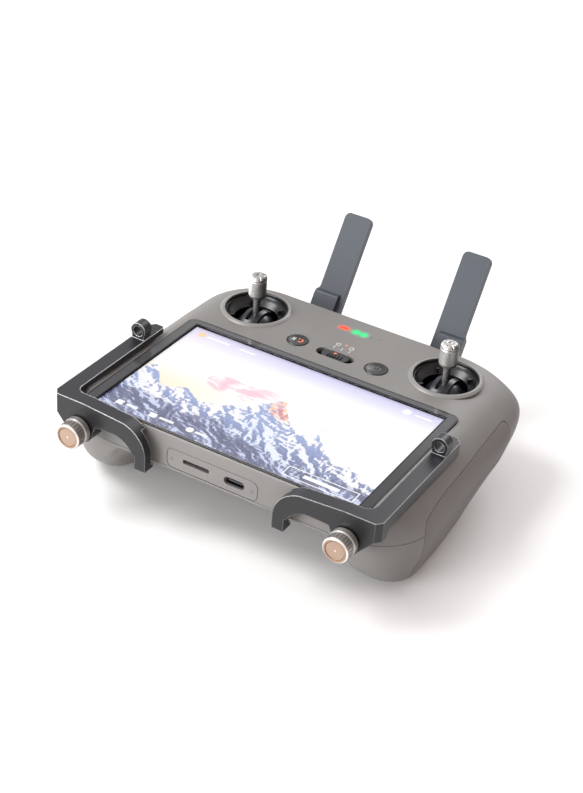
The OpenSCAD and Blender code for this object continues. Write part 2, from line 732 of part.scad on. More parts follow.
// near wall outline (X, Z): rail, corner, leg that hooks below the near face
module wall_outline() difference() {
  union() {
    polygon([[43.2, -6.1], [43.2, 1.4], [60, bar_top], [corner_x - 1, bar_top],
      [corner_x, bar_top - 1], [corner_x, -6.2], [67, -13.6], [61.9, -14], [56.4, -12],
      [54.9, -8], [54.2, -6.4], [50, -6.1]]);
    // quarter bend into the leg
    intersection() {
      translate([43.3, -12.2]) circle(r = 13.6);
      translate([29, -12.2]) square([14.3, 14]);
    }
    translate([leg_in, -18.4]) square([leg_out - leg_in, 6.3]);
    translate([knob_x, knob_z]) circle(r = 6.4);
  }
  // inside of the bend
  translate([45.8, -16.9]) circle(r = 10.9);
  translate([leg_out, -30]) square([10.9, 13.1]);
}
// corner and side arm in plan (X, Y), with a rounded inner corner
module arm_outline() polygon([[60, bar_y], [corner_x, bar_y], [arm_x, -5.4],
  [arm_x, arm_y - 3], [arm_x - 2.5, arm_y], [arm_in + 1, arm_y], [arm_in, arm_y - 1],
  [arm_in, 2.45], [arm_in - 0.3, 0.92], [arm_in - 1.17, -0.38], [arm_in - 2.47, -1.25],
  [arm_in - 4, -1.55], [60, -1.55]]);

module bracket() difference() {
  union() {
    extrude_y(bar_y, -1.5) wall_outline();
    linear_extrude(bar_top) arm_outline();
    // outer skirt of the arm, then of the corner
    extrude_y(-5.4, arm_y - 3)
      polygon([[73.2, 1], [arm_x, 1], [arm_x, -3.4], [74.8, -3.4], [73.2, -1.9]]);
    translate([0, 0, -6.2]) linear_extrude(7.2)
      polygon([[70, bar_y], [corner_x, bar_y], [arm_x, -5.4], [arm_x, -1.6], [70, -1.6]]);
    // strap eye
    translate([eye_x, 0, 0]) extrude_y(eye_y - 2.6, eye_y + 2.6) {
      translate([-eye_half, bar_top - 0.5]) square([2 * eye_half, 4.2]);
      translate([0, 6.6]) circle(r = eye_half + 0.5);
    }
  }
  // the leg is slimmer than the rail, with a small foot
  box(28, 41, -4, 0, -16.4, -2);
  box(28, 41, -2.4, 0, -20, -16);
  cyl_y(eye_r, eye_y - 10, eye_y + 10, eye_x, 6.3);
  cyl_y(1.65, -20, 10, knob_x, knob_z);
}
module right_bracket() color(bracket_black) bracket();
module left_bracket() color(bracket_black) left_side() bracket();
module bracket_pads() color([0.05, 0.05, 0.05])
  both_sides() slab_y(42, 55.5, -6.5, -1.2, -1.45, -1.05, 1.5);

// turned parts start at the knob's near face and run along +Y
module at_knob() translate([knob_x, -16.4, knob_z]) rotate([-90, 0, 0]) children();
// knob with grooved rim, and a shank through the bracket into the insert
module thumb_screw() at_knob() difference() {
  rotate_extrude() polygon([[0, 0.25], [3.9, 0.25], [4.2, 0], [5, 0], [knob_r, 0.7],
    [knob_r, 4.2], [knob_r - 0.5, 4.8], [thumb_shank_r, 4.8], [thumb_shank_r, 22.4],
    [1, 22.9], [0, 22.9]]);
  around(24) cyl_z(0.45, 1, 3.9, knob_r + 0.25, $fn = 16);
}
module right_thumb_screw() color(knob_copper) thumb_screw();
module left_thumb_screw() color(knob_copper) left_side() thumb_screw();

module screw_collar() at_knob() rotate_extrude()
  polygon([[1.55, 4.85], [5.2, 4.85], [5.8, 5.4], [5.8, 7.6], [5, 8.35], [1.55, 8.35]]);
module right_screw_collar() color(collar_grey) screw_collar();
module left_screw_collar() color(collar_grey) left_side() screw_collar();

// ---------------------------------------------------------------- nodes
function shown(name) = node == "all" || node == name;

if (shown("front_shell")) front_shell();
if (shown("rear_shell")) rear_shell();
if (shown("left_grip_panel")) left_grip_panel();
if (shown("right_grip_panel")) right_grip_panel();
if (shown("screen_glass")) screen_glass();
if (shown("display_panel")) display_panel();
if (shown("display_frame")) display_frame();
if (shown("main_board")) main_board();
if (shown("control_board")) control_board();
if (shown("heat_sink")) heat_sink();
if (shown("fan_housing")) fan_housing();
if (shown("fan_impeller")) fan_impeller();
if (shown("left_cell")) left_cell();
if (shown("right_cell")) right_cell();
if (shown("speaker")) speaker();
if (shown("usb_c_port")) usb_c_port();
if (shown("card_slot")) card_slot();
if (shown("warm_lamps")) warm_lamps();
if (shown("green_lamps")) green_lamps();
if (shown("spare_lamps")) spare_lamps();
if (shown("left_gimbal_can")) left_gimbal_can();
if (shown("right_gimbal_can")) right_gimbal_can();
if (shown("left_yoke")) left_yoke();
if (shown("right_yoke")) right_yoke();
if (shown("left_stick")) left_stick();
if (shown("right_stick")) right_stick();
if (shown("left_stick_dome")) left_stick_dome();
if (shown("right_stick_dome")) right_stick_dome();
if (shown("left_stick_cap")) left_stick_cap();
if (shown("right_stick_cap")) right_stick_cap();
if (shown("home_button")) home_button();
if (shown("power_button")) power_button();
if (shown("mode_slider")) mode_slider();
if (shown("record_button")) record_button();
if (shown("shutter_button")) shutter_button();
if (shown("tilt_dial")) tilt_dial();
if (shown("camera_dial")) camera_dial();
if (shown("dial_axles")) dial_axles();
if (shown("left_rear_button")) left_rear_button();
if (shown("right_rear_button")) right_rear_button();
if (shown("left_antenna")) left_antenna();
if (shown("right_antenna")) right_antenna();
if (shown("left_antenna_pin")) left_antenna_pin();
if (shown("right_antenna_pin")) right_antenna_pin();
if (shown("case_screws")) case_screws();
if (shown("threaded_inserts")) threaded_inserts();
if (shown("left_bracket")) left_bracket();
if (shown("right_bracket")) right_bracket();
if (shown("bracket_pads")) bracket_pads();
if (shown("left_thumb_screw")) left_thumb_screw();
if (shown("right_thumb_screw")) right_thumb_screw();
if (shown("left_screw_collar")) left_screw_collar();
if (shown("right_screw_collar")) right_screw_collar();
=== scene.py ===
"""A hand-held controller with a lit screen, two sticks, two antennas and two brackets.

It lies face up: X runs from left (-) to right (+), Y from the near edge to the far edge,
Z up, with the flat top face at z = 0. Lengths are in millimetres and become metres in
mesh_obj, except in shader graphs, bump heights, lights and the camera, which use metres.
"""
import bpy, bmesh, math
import numpy as np
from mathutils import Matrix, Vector

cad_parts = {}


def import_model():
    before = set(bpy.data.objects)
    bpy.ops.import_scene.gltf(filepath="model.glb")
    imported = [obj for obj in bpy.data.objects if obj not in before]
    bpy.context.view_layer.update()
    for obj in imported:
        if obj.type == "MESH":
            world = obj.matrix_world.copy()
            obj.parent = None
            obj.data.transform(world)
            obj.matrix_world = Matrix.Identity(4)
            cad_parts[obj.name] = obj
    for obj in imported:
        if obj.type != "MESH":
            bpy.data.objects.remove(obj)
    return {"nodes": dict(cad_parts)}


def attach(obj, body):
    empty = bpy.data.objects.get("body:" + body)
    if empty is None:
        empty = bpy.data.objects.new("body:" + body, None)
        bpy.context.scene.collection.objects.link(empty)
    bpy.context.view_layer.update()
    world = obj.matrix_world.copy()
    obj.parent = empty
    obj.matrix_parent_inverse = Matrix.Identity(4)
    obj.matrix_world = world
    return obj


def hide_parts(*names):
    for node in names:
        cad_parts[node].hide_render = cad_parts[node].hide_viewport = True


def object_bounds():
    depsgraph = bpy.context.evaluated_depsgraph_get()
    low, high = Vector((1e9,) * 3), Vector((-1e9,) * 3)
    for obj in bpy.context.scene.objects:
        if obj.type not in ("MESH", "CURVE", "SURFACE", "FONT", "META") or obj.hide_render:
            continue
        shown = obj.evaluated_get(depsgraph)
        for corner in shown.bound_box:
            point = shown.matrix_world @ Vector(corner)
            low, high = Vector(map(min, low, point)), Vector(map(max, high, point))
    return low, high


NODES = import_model()["nodes"]
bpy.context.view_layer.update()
MM = 0.001
SIDES = ((-1, "left"), (1, "right"))

# ------------------------------------------------------------------ sizes and places
# body outline seen from above
NEAR_Y, FAR_Y = -1.0, 122.9
LENGTH = FAR_Y - NEAR_Y
NEAR_CORNER_Y, FAR_CORNER_Y = 25, 90  # where the corner curves begin
NEAR_HALF, MID_HALF, MAIN_HALF, FAR_HALF = 56.3, 83.3, 82.1, 61.1  # half widths
# body depths below the top face
NEAR_DEPTH, GRIP_DEPTH, BACK_DEPTH = 18.2, 44.7, 24.5
NEAR_DROP = 4.3  # growth of the back's depth just behind the near edge
GRIP_START_Y, GRIP_FULL_Y = 1.2, 27
EDGE_RADIUS, EDGE_BAND = 1.8, 3.2  # rounding of both ends; length with dense stations
WALL, SPLIT_Z = 2.2, -16.0  # shell wall; height of the joint between the shells
PANEL_THICK, PANEL_X = 1.4, 61  # grip panels: thickness and innermost x
PANEL_GAP = 0.24

WELL_X, WELL_Y = 47.4, 102.3  # stick wells
SCREW_X, SCREW_Z = 61.9, -9.7  # thumb screws in the near edge
HOME_X, POWER_X, BUTTON_Y = -18.8, 20.1, 90.5
LAMP_X = (-8.8, -6.5, -1.7, 2.3, 6.5, 10.2)  # two warm, two green, two spare
LAMP_Y = 112

# cover glass, the clear window in it and the picture below
GLASS_HALF, GLASS_NEAR, GLASS_FAR = 66.0, -0.5, 78.9
WINDOW_HALF, WINDOW_FAR = 61.0, 75.0
PICTURE_HALF, PICTURE_FAR = 60.88, 74.9


# ------------------------------------------------------------------ body surface
def smoothstep(low, high, value):
    t = min(1.0, max(0.0, (value - low) / (high - low)))
    return t * t * (3 - 2 * t)


def safe_power(base, power):
    return 0.0 if base <= 0 else base ** power


def half_width(y):
    if y > FAR_CORNER_Y:
        turn = safe_power((y - FAR_CORNER_Y) / (FAR_Y - FAR_CORNER_Y), 2.08)
        return FAR_HALF + (MAIN_HALF - FAR_HALF) * safe_power(1 - turn, 1 / 4.4)
    if y < NEAR_CORNER_Y:
        turn = ((NEAR_CORNER_Y - y) / (NEAR_CORNER_Y - NEAR_Y)) ** 2
        return NEAR_HALF + (MID_HALF - NEAR_HALF) * math.sqrt(max(0, 1 - turn))
    return MID_HALF - (MID_HALF - MAIN_HALF) * smoothstep(25, 80, y)


def grip_depth(y):
    if y < GRIP_FULL_Y:
        turn = (GRIP_FULL_Y - max(y, GRIP_START_Y)) / (GRIP_FULL_Y - GRIP_START_Y)
        return NEAR_DEPTH + (GRIP_DEPTH - NEAR_DEPTH) * math.sqrt(max(0, 1 - turn ** 2))
    return GRIP_DEPTH - 12.3 * smoothstep(GRIP_FULL_Y, 100, y) - 7.3 * smoothstep(98, 122, y)


def back_depth(y):
    return (NEAR_DEPTH + NEAR_DROP * smoothstep(0, 26, y)
            + (BACK_DEPTH - NEAR_DEPTH - NEAR_DROP) * smoothstep(30, 90, y))


def half_section(y, inset, steps):
    """(x, z) points of the +X half of a section, from the top centre to the back centre"""
    skin_y = NEAR_Y + (y - NEAR_Y - inset) * LENGTH / (LENGTH - 2 * inset)
    width = half_width(skin_y) - inset
    depth = grip_depth(skin_y) - inset
    back = min(back_depth(skin_y) - inset, depth)
    swell = 0.24 + 0.76 * smoothstep(-1, 24, skin_y)
    far = smoothstep(55, 95, skin_y)
    to_end = min(skin_y - NEAR_Y, FAR_Y - skin_y)
    edge = EDGE_RADIUS - math.sqrt(
        max(0, EDGE_RADIUS ** 2 - (EDGE_RADIUS - min(to_end, EDGE_RADIUS)) ** 2))
    grip = depth - back  # how far the grip stands below the back
    grip_out = width - 6.6 + 2.4 * smoothstep(22, 64, skin_y) * smoothstep(0, 12, grip)
    grip_in = min(56.4 - 4 * smoothstep(30, 80, skin_y) + inset, grip_out - 8)
    grip_foot = grip_in - 9 * smoothstep(0, 20, grip)
    shoulder_z = 6 + 5.6 * swell - 2.4 * smoothstep(98, 118, skin_y)
    # control points: x, z, corner radius
    control = [
        (0, -edge - inset, 0),
        (max(width - (13 + 3.7 * far) * swell - edge, 10), -edge - inset,
         (9 * swell + 2) * (0.6 + 0.4 * far)),
        (width + 0.7 * swell, -shoulder_z - inset * 0.3, 9),
        (width - 0.4 - 1.85 * swell, -(depth * 0.59 + 4), 12),
        (grip_out, -depth + edge, 15),
        (grip_in, -depth + edge, 10),
        (grip_foot - 4, -back + edge, 10),
        (0, -back + edge, 0)]
    points = [np.array(row[:2], float) for row in control]
    out = [points[0]]
    for i in range(1, len(points) - 1):
        before, corner, after = points[i - 1:i + 2]
        len_in, len_out = np.linalg.norm(before - corner), np.linalg.norm(after - corner)
        radius = control[i][2]
        start = corner + (before - corner) / len_in * min(radius, len_in * 0.48)
        end = corner + (after - corner) / len_out * min(radius, len_out * 0.48)
        for j in range(steps + 1):
            t = j / steps
            out.append((1 - t) ** 2 * start + 2 * t * (1 - t) * corner + t * t * end)
    out.append(points[-1])
    return np.array(out)


def stations(inset, count):
    """y values of the sections, dense at the rounded ends"""
    first, last = NEAR_Y + inset, FAR_Y - inset
    band = EDGE_BAND * (1 - np.cos(np.linspace(0, math.pi / 2, 9)))
    near, far = first + band, last - band[::-1]
    even = np.linspace(0, 1, count + 2)[1:-1]
    eased = 0.5 - 0.5 * np.cos(even * math.pi)
    middle = near[-1] + (far[0] - near[-1]) * (0.5 * even + 0.5 * eased)
    return np.concatenate([near, middle, far])


# ------------------------------------------------------------------ mesh helpers
def shade(ob, angle):
    """smooth shading, sharp above the angle in degrees"""
    for face in ob.data.polygons:
        face.use_smooth = True
    ob.data.set_sharp_from_angle(angle=math.radians(angle))


def link_new(name, mesh):
    ob = bpy.data.objects.new(name, mesh)
    bpy.context.collection.objects.link(ob)
    return ob


def mesh_obj(name, verts, faces):
    """an object from points in millimetres"""
    mesh = bpy.data.meshes.new(name)
    mesh.from_pydata([tuple(float(c) * MM for c in v) for v in verts], [], faces)
    mesh.validate()
    bm = bmesh.new()
    bm.from_mesh(mesh)
    bmesh.ops.recalc_face_normals(bm, faces=bm.faces)
    bm.to_mesh(mesh)
    bm.free()
    return link_new(name, mesh)


def body_loft(name, inset, count, steps):
    """closed body, moved inwards by inset"""
    ys = stations(inset, count)
    verts = []
    for y in ys:
        half = half_section(float(y), inset, steps)
        ring = [(p[0], y, p[1]) for p in half] + [(-p[0], y, p[1]) for p in half[::-1][1:-1]]
        size = len(ring)
        verts += ring
    faces = []
    for i in range(len(ys) - 1):
        for j in range(size):
            a, b = i * size + j, i * size + (j + 1) % size
            faces.append((a, a + size, b + size, b))
    near_tip, far_tip = len(verts), len(verts) + 1
    verts += [(0, ys[0], -9), (0, ys[-1], -13)]
    last = (len(ys) - 1) * size
    for j in range(size):
        faces.append((near_tip, j, (j + 1) % size))
        faces.append((far_tip, last + (j + 1) % size, last + j))
    return mesh_obj(name, verts, faces)


def prism(name, points, low, high, axis="z"):
    """closed prism over an outline; axis z: (x, y), axis y: (x, z), axis x: (y, z)"""
    n = len(points)
    place = {"z": lambda p, h: (p[0], p[1], h),
             "y": lambda p, h: (p[0], h, p[1]),
             "x": lambda p, h: (h, p[0], p[1])}[axis]
    verts = [place(p, low) for p in points] + [place(p, high) for p in points]
    faces = [tuple(range(n)), tuple(range(2 * n - 1, n - 1, -1))]
    faces += [(i, (i + 1) % n, n + (i + 1) % n, n + i) for i in range(n)]
    return mesh_obj(name, verts, faces)


def cutter(points, low, high, axis="z"):
    return prism("cutter", points, low, high, axis)


def box_cutter(x0, x1, y0, y1, z0, z1):
    return cutter([(x0, y0), (x1, y0), (x1, y1), (x0, y1)], z0, z1)


def round_rect(x0, x1, y0, y1, radius, steps=8):
    out = []
    for x, y, start in ((x1 - radius, y1 - radius, 0), (x0 + radius, y1 - radius, 90),
                        (x0 + radius, y0 + radius, 180), (x1 - radius, y0 + radius, 270)):
        for j in range(steps + 1):
            angle = math.radians(start + 90 * j / steps)
            out.append((x + radius * math.cos(angle), y + radius * math.sin(angle)))
    return out


def circle(x, y, radius, count):
    angles = [2 * math.pi * i / count for i in range(count)]
    return [(x + radius * math.cos(a), y + radius * math.sin(a)) for a in angles]


def arc_band(x, y, radius, width, start, end):
    """outline of a curved stroke between two angles in degrees"""
    steps = 24
    angles = [math.radians(start + (end - start) * i / steps) for i in range(steps + 1)]
    outer_r, inner_r = radius + width / 2, radius - width / 2
    return ([(x + outer_r * math.cos(a), y + outer_r * math.sin(a)) for a in angles]
            + [(x + inner_r * math.cos(a), y + inner_r * math.sin(a)) for a in reversed(angles)])


def lathe(name, profile, x, y, count, smooth, carve=None):
    """(radius, z) profile turned about a vertical axis; carve(r, z, angle) gives a new radius"""
    verts, rows = [], []
    for r, z in profile:
        if r <= 1e-9:
            rows.append([len(verts)] * count)
            verts.append((x, y, z))
            continue
        rows.append(range(len(verts), len(verts) + count))
        for i in range(count):
            a = 2 * math.pi * i / count
            radius = carve(r, z, a) if carve else r
            verts.append((x + radius * math.cos(a), y + radius * math.sin(a), z))
    faces = []
    for a, b in zip(rows, rows[1:]):
        for i in range(count):
            j = (i + 1) % count
            # a row on the axis repeats one point, which leaves a triangle
            faces.append(tuple(dict.fromkeys((a[i], a[j], b[j], b[i]))))
    ob = mesh_obj(name, verts, faces)
    shade(ob, smooth)
    return ob


def join(objects, name):
    verts, faces = [], []
    for ob in objects:
        base = len(verts)
        verts += [tuple(v.co) for v in ob.data.vertices]
        faces += [tuple(base + i for i in face.vertices) for face in ob.data.polygons]
        bpy.data.objects.remove(ob)
    mesh = bpy.data.meshes.new(name)
    mesh.from_pydata(verts, [], faces)
    return link_new(name, mesh)


def copy_obj(ob, name):
    return link_new(name, ob.data.copy())


def mirrored(ob, name):
    """a copy mirrored in X"""
    mesh = ob.data.copy()
    for v in mesh.vertices:
        v.co.x = -v.co.x
    mesh.flip_normals()
    return link_new(name, mesh)


def boolean(target, *cutters, operation="DIFFERENCE", keep=False):
    """apply the cutters in turn, and remove them unless they are kept"""
    for other in cutters:
        modifier = target.modifiers.new("b", "BOOLEAN")
        modifier.operation, modifier.object, modifier.solver = operation, other, "EXACT"
        depsgraph = bpy.context.evaluated_depsgraph_get()
        mesh = bpy.data.meshes.new_from_object(target.evaluated_get(depsgraph))
        target.modifiers.clear()
        old = target.data
        target.data = mesh
        bpy.data.meshes.remove(old)
        if not keep:
            bpy.data.objects.remove(other)
    return target


# ------------------------------------------------------------------ shader graph helpers
def linear(rgb):
    """linear colour from 0-255 sRGB"""
    return tuple((v / 255) / 12.92 if v / 255 <= 0.04045 else ((v / 255 + 0.055) / 1.055) ** 2.4
                 for v in rgb) + (1.0,)


def scaled(color, factor):
    return tuple(min(1, v * factor) for v in color[:3]) + (1,)


def math_method(kind, swapped=False):
    if swapped:
        return lambda value, other: value.graph.math(kind, other, value)
    return lambda value, *others: value.graph.math(kind, value, *others)


class Value:
    """output of a shader node; arithmetic on it adds Math nodes"""

    def __init__(self, graph, socket):
        self.graph, self.socket = graph, socket

    def sibling(self, key):
        """another output of the same node"""
        return Value(self.graph, self.socket.node.outputs[key])

    __add__ = math_method("ADD")
    __sub__ = math_method("SUBTRACT")
    __rsub__ = math_method("SUBTRACT", swapped=True)
    __mul__ = math_method("MULTIPLY")
    __truediv__ = math_method("DIVIDE")
    __gt__ = math_method("GREATER_THAN")
    __lt__ = math_method("LESS_THAN")
    __abs__ = math_method("ABSOLUTE")
    times_plus = math_method("MULTIPLY_ADD")
    at_least = math_method("MAXIMUM")
    at_most = math_method("MINIMUM")


class Graph:
    """builds nodes in a shader tree"""

    def __init__(self, tree):
        self.tree = tree

    def put(self, socket, value):
        if isinstance(value, Value):
            self.tree.links.new(value.socket, socket)
        else:
            socket.default_value = value

    def node(self, kind, inputs, output=0, **settings):
        node = self.tree.nodes.new("ShaderNode" + kind)
        for key, value in settings.items():
            setattr(node, key, value)
        for key, value in inputs.items():
            self.put(node.inputs[key], value)
        return Value(self, node.outputs[output])

    def math(self, operation, *values):
        return self.node("Math", dict(enumerate(values)), operation=operation)

    def vector_math(self, operation, a, b, output=0):
        return self.node("VectorMath", {0: a, 1: b}, output, operation=operation)

    def tinted(self, color, amount):
        return self.node("VectorMath", {0: color, "Scale": amount}, operation="SCALE")

    def coord(self, output="Object"):
        return self.node("TexCoord", {}, output)

    def normal(self):
        return self.node("NewGeometry", {}, "Normal")

    def xyz(self, vector):
        first = self.node("SeparateXYZ", {0: vector})
        return [first.sibling(i) for i in range(3)]

    def vector(self, *values):
        return self.node("CombineXYZ", dict(enumerate(values)))

    def noise(self, vector, scale, detail, rough=0.5, distortion=0.0):
        return self.node("TexNoise", {"Vector": vector, "Scale": scale, "Detail": detail,
                                      "Roughness": rough, "Distortion": distortion}, "Fac")

    def rise(self, value, low, high):
        """0 below low, 1 above high"""
        return self.node("MapRange", {"Value": value, "From Min": low, "From Max": high},
                         "Result", interpolation_type="SMOOTHSTEP")

    def fall(self, value, low, high):
        return 1.0 - self.rise(value, low, high)

    def mix(self, factor, a, b):
        return self.node("Mix", {0: factor, 6: a, 7: b}, 2, data_type="RGBA")

    def mix_shader(self, factor, a, b):
        return self.node("MixShader", {0: factor, 1: a, 2: b})

    def bump(self, height, strength, distance, normal=None):
        inputs = {"Strength": strength, "Distance": distance, "Height": height}
        if normal is not None:
            inputs["Normal"] = normal
        return self.node("Bump", inputs)

    def bevel(self, radius):
        """normal rounded at the edges; radius in millimetres"""
        return self.node("Bevel", {"Radius": radius * MM}, samples=4)

    def square_sum(self, a, b):
        return a * a + b * b

    def radius_mm(self, a, b):
        return self.math("SQRT", self.square_sum(a, b)) * 1000

    def surface(self, shader):
        self.put(self.output.inputs[0], shader)

    def principled(self, **inputs):
        """Principled shader as the surface; _ in an input's name stands for a space"""
        shader = self.node("BsdfPrincipled", {k.replace("_", " "): v for k, v in inputs.items()})
        self.surface(shader)
        return shader


MATERIALS = {}


def new_material(name):
    """graph of an empty material, which is also filed in MATERIALS"""
    material = bpy.data.materials.new(name)
    material.use_nodes = True
    graph = Graph(material.node_tree)
    graph.tree.nodes.clear()
    graph.output = graph.tree.nodes.new("ShaderNodeOutputMaterial")
    MATERIALS[name] = material
    return graph


# ------------------------------------------------------------------ materials
def mottled(g, co, rgb, vary):
    """colour that drifts by +-vary in broad patches"""
    color = linear(rgb)
    patches = g.rise(g.noise(co, scale=28, detail=3), 0.35, 0.65)
    return g.mix(patches, scaled(color, 1 - vary), scaled(color, 1 + vary))


def plastic(name, rgb, rough, grain, scale, vary, bevel=None):
    g = new_material(name)
    co = g.coord()
    height = g.noise(co, scale, detail=2, rough=0.6)
    rounded = g.bevel(bevel) if bevel else None
    g.principled(Base_Color=mottled(g, co, rgb, vary), Roughness=rough,
                 Normal=g.bump(height, strength=grain, distance=0.00008, normal=rounded))


def metal(name, rgb, rough):
    g = new_material(name)
    stretch = (1, 1, 1)  # of the grain along x, y, z
    grain = g.noise(g.vector_math("MULTIPLY", g.coord(), stretch), scale=900, detail=3, rough=0.6)
    color = linear(rgb)
    g.principled(Base_Color=g.mix(grain, scaled(color, 0.92), scaled(color, 1.06)), Metallic=1.0,
                 Roughness=grain.times_plus(0.12, rough - 0.06),
                 Normal=g.bump(grain, strength=0.05, distance=0.00005))


def turned(name, bands):
    """metal turned about the thumb screw axis; bands: (start radius, sRGB, roughness)"""
    g = new_material(name)
    rings_per_mm, turn = 2.6, 6.283
    ring_dark, ring_limit = 0.10, 5.0  # darkening by the rings, inside this radius
    x, _, z = g.xyz(g.coord())
    radius = g.radius_mm(abs(x) - SCREW_X * MM, z - SCREW_Z * MM)
    rings = g.math("SINE", radius * (rings_per_mm * turn)).times_plus(0.5, 0.5)
    _, rgb, rough = bands[0]
    color = linear(rgb)
    for start, rgb, band_rough in bands[1:]:
        inside = g.rise(radius, start - 0.06, start + 0.06)
        color = g.mix(inside, color, linear(rgb))
        rough = inside.times_plus(g.math("SUBTRACT", band_rough, rough), rough)
    color = g.mix(rings * ring_dark * (radius < ring_limit), color, (0.02, 0.015, 0.012, 1))
    g.principled(Base_Color=color, Roughness=rough, Metallic=0.75,
                 Normal=g.bump(rings, strength=0.10, distance=0.00003, normal=g.bevel(0.12)))


def emissive(name, rgb, strength):
    g = new_material(name)
    whitening = g.noise(g.coord(), scale=700, detail=2) * 0.05
    g.principled(Base_Color=(0.02, 0.02, 0.02, 1), Roughness=0.3, Specular_IOR_Level=0.15,
                 Emission_Color=g.mix(whitening, linear(rgb), (1, 1, 1, 1)),
                 Emission_Strength=strength)


def picture_material():
    """snow peaks at sunrise under a pale sky, with plain marks along two edges"""
    g = new_material("lit_picture")
    x, y, _ = g.xyz(g.coord())
    u = x.times_plus(1 / (2 * PICTURE_HALF * MM), 0.5)  # 0 at the left, 1 at the right
    v = y * (1 / (PICTURE_FAR * MM))  # 0 at the near edge, 1 at the far edge
    aspect = 1.63
    place = g.vector(u * aspect, v, 3.7)

    def blob(center, size, ragged, scale, seed):
        """soft ellipse with a ragged edge"""
        rag = g.noise(g.vector_math("ADD", place, (seed, 0, 0)), scale, detail=5, rough=0.6)
        a, b = (u - center[0]) / size[0], (v - center[1]) / size[1]
        return g.fall((rag - 0.5).times_plus(ragged, g.square_sum(a, b)), 0.75, 1.15)

    # sky: white to violet, cream low on the left, mauve high on the left
    sky = g.mix(g.rise(v, 0.80, 0.98), (1.0, 1.0, 1.0, 1), (0.70, 0.68, 0.92, 1))
    cream = g.fall(u, 0.10, 0.50) * g.fall(v, 0.40, 0.62)
    sky = g.mix(cream, sky, (1.0, 0.90, 0.70, 1))
    mauve = g.fall(u, 0.0, 0.5) * g.rise(v, 0.6, 0.9)
    sky = g.mix(mauve * 0.35, sky, (0.93, 0.80, 0.93, 1))

    # torn pink clouds: slanted streaks inside blobs
    slant = g.vector(v.times_plus(4.0, u * 7.0), u.times_plus(-3.0, v * 13.0), 2.2)
    torn = g.rise(g.noise(slant, scale=1.7, detail=8, rough=0.62), 0.40, 0.56)
    # centre, size, raggedness, noise scale, seed, strength, colour
    for center, size, ragged, scale, seed, strength, color in (
            ((0.335, 0.575), (0.115, 0.085), 1.6, 8, 1.0, 0.85, (0.97, 0.50, 0.62, 1)),
            ((0.445, 0.625), (0.06, 0.045), 1.4, 9, 4.0, 0.7, (1.0, 0.56, 0.66, 1)),
            ((0.70, 0.52), (0.05, 0.02), 1.4, 9, 6.0, 0.6, (1.0, 0.84, 0.80, 1))):
        sky = g.mix(blob(center, size, ragged, scale, seed) * torn * strength, sky, color)

    # ridge line of the far peaks: sloped tents plus fractal noise
    jag = g.noise(place, scale=16, detail=9, rough=0.62) - 0.5
    ridge = g.rise(u, 0.55, 1.05).times_plus(-0.13, 0.33)
    # peak u, left width, right width, height
    for peak, left_w, right_w, height in (
            (0.51, 0.17, 0.13, 0.31), (0.03, 0.12, 0.10, 0.20), (0.70, 0.13, 0.13, 0.15),
            (0.20, 0.10, 0.09, 0.10), (0.33, 0.07, 0.08, 0.06), (0.88, 0.07, 0.07, 0.06)):
        left = (u - (peak - left_w)) / left_w
        right = ((peak + right_w) - u) / right_w
        ridge = ridge + left.at_most(right).at_least(0.0) * height
    ridge = jag.times_plus(0.11, ridge)
    mountain_mask = g.fall(v - ridge, -0.004, 0.004)
    depth = ridge - v

    def slope(shear, scale, rough, seed, shift):
        """slope of a fractal height field seen from the side: noise here and a shift away"""
        def across():
            return v.times_plus(shear[1], u * shear[0])
        here = g.vector(across(), v * 1.0, seed)
        there = g.vector(across() + shift[0], v + shift[1], seed)
        a, b = (g.noise(p, scale, detail=10, rough=rough, distortion=0.35) for p in (here, there))
        return b - a

    # lit and shaded faces, brighter at the ridge and on the left
    large = slope((1.7, 0.55), scale=4.6, rough=0.60, seed=1.3, shift=(0.024, 0.014))
    small = slope((1.6, -0.35), scale=12.0, rough=0.60, seed=5.1, shift=(0.009, 0.006))
    face = large * 8.5 + small * 4.6
    face = face + g.rise(depth, 0.0, 0.20).times_plus(-0.22, 0.13)
    face = face - g.rise(u, 0.52, 0.80) * 0.12
    snow = g.mix(g.rise(depth, 0.02, 0.32), (1.0, 0.96, 0.95, 1), (0.80, 0.86, 1.0, 1))
    stone = g.mix(g.rise(v, 0.06, 0.42), (0.085, 0.11, 0.27, 1), (0.27, 0.35, 0.64, 1))
    between = g.mix(0.5, stone, (0.62, 0.70, 0.95, 1))
    mountain = g.mix(g.rise(face, -0.16, -0.06), stone, between)
    mountain = g.mix(g.rise(face, -0.06, 0.10), mountain, snow)

    # sunrise colour on the main peak's right shoulder, a blush on its left
    warm = g.mix(g.rise(face, -0.12, 0.10), (0.80, 0.16, 0.10, 1), (1.0, 0.50, 0.26, 1))
    glow = blob((0.553, 0.555), (0.072, 0.095), ragged=0.9, scale=6, seed=2.0)
    glow = glow * g.rise(g.noise(place, scale=34, detail=6, rough=0.7), 0.40, 0.52)
    mountain = g.mix(glow * 0.85, mountain, warm)
    blush = blob((0.49, 0.60), (0.06, 0.06), ragged=1.2, scale=9, seed=3.0)
    mountain = g.mix(blush * 0.35, mountain, (1.0, 0.72, 0.70, 1))
    picture = g.mix(mountain_mask, sky, mountain)

    # foothills in violet shadow
    rough_line = g.noise(g.vector_math("ADD", place, (3, 7, 0)), scale=5, detail=9, rough=0.6)
    hill_line = (rough_line - 0.5).times_plus(0.34, g.rise(u, 0.30, 0.75).times_plus(-0.10, 0.24))
    hill_mask = g.fall(v - hill_line, -0.012, 0.014)
    face = slope((1.5, 0.6), scale=7.0, rough=0.62, seed=8.4, shift=(0.018, 0.010))
    hill = g.mix(g.rise(face, -0.03, 0.015), (0.060, 0.070, 0.175, 1), (0.165, 0.18, 0.34, 1))
    hill = g.mix(g.rise(face, 0.025, 0.045), hill, (0.60, 0.66, 0.90, 1))
    picture = g.mix(hill_mask, picture, hill)

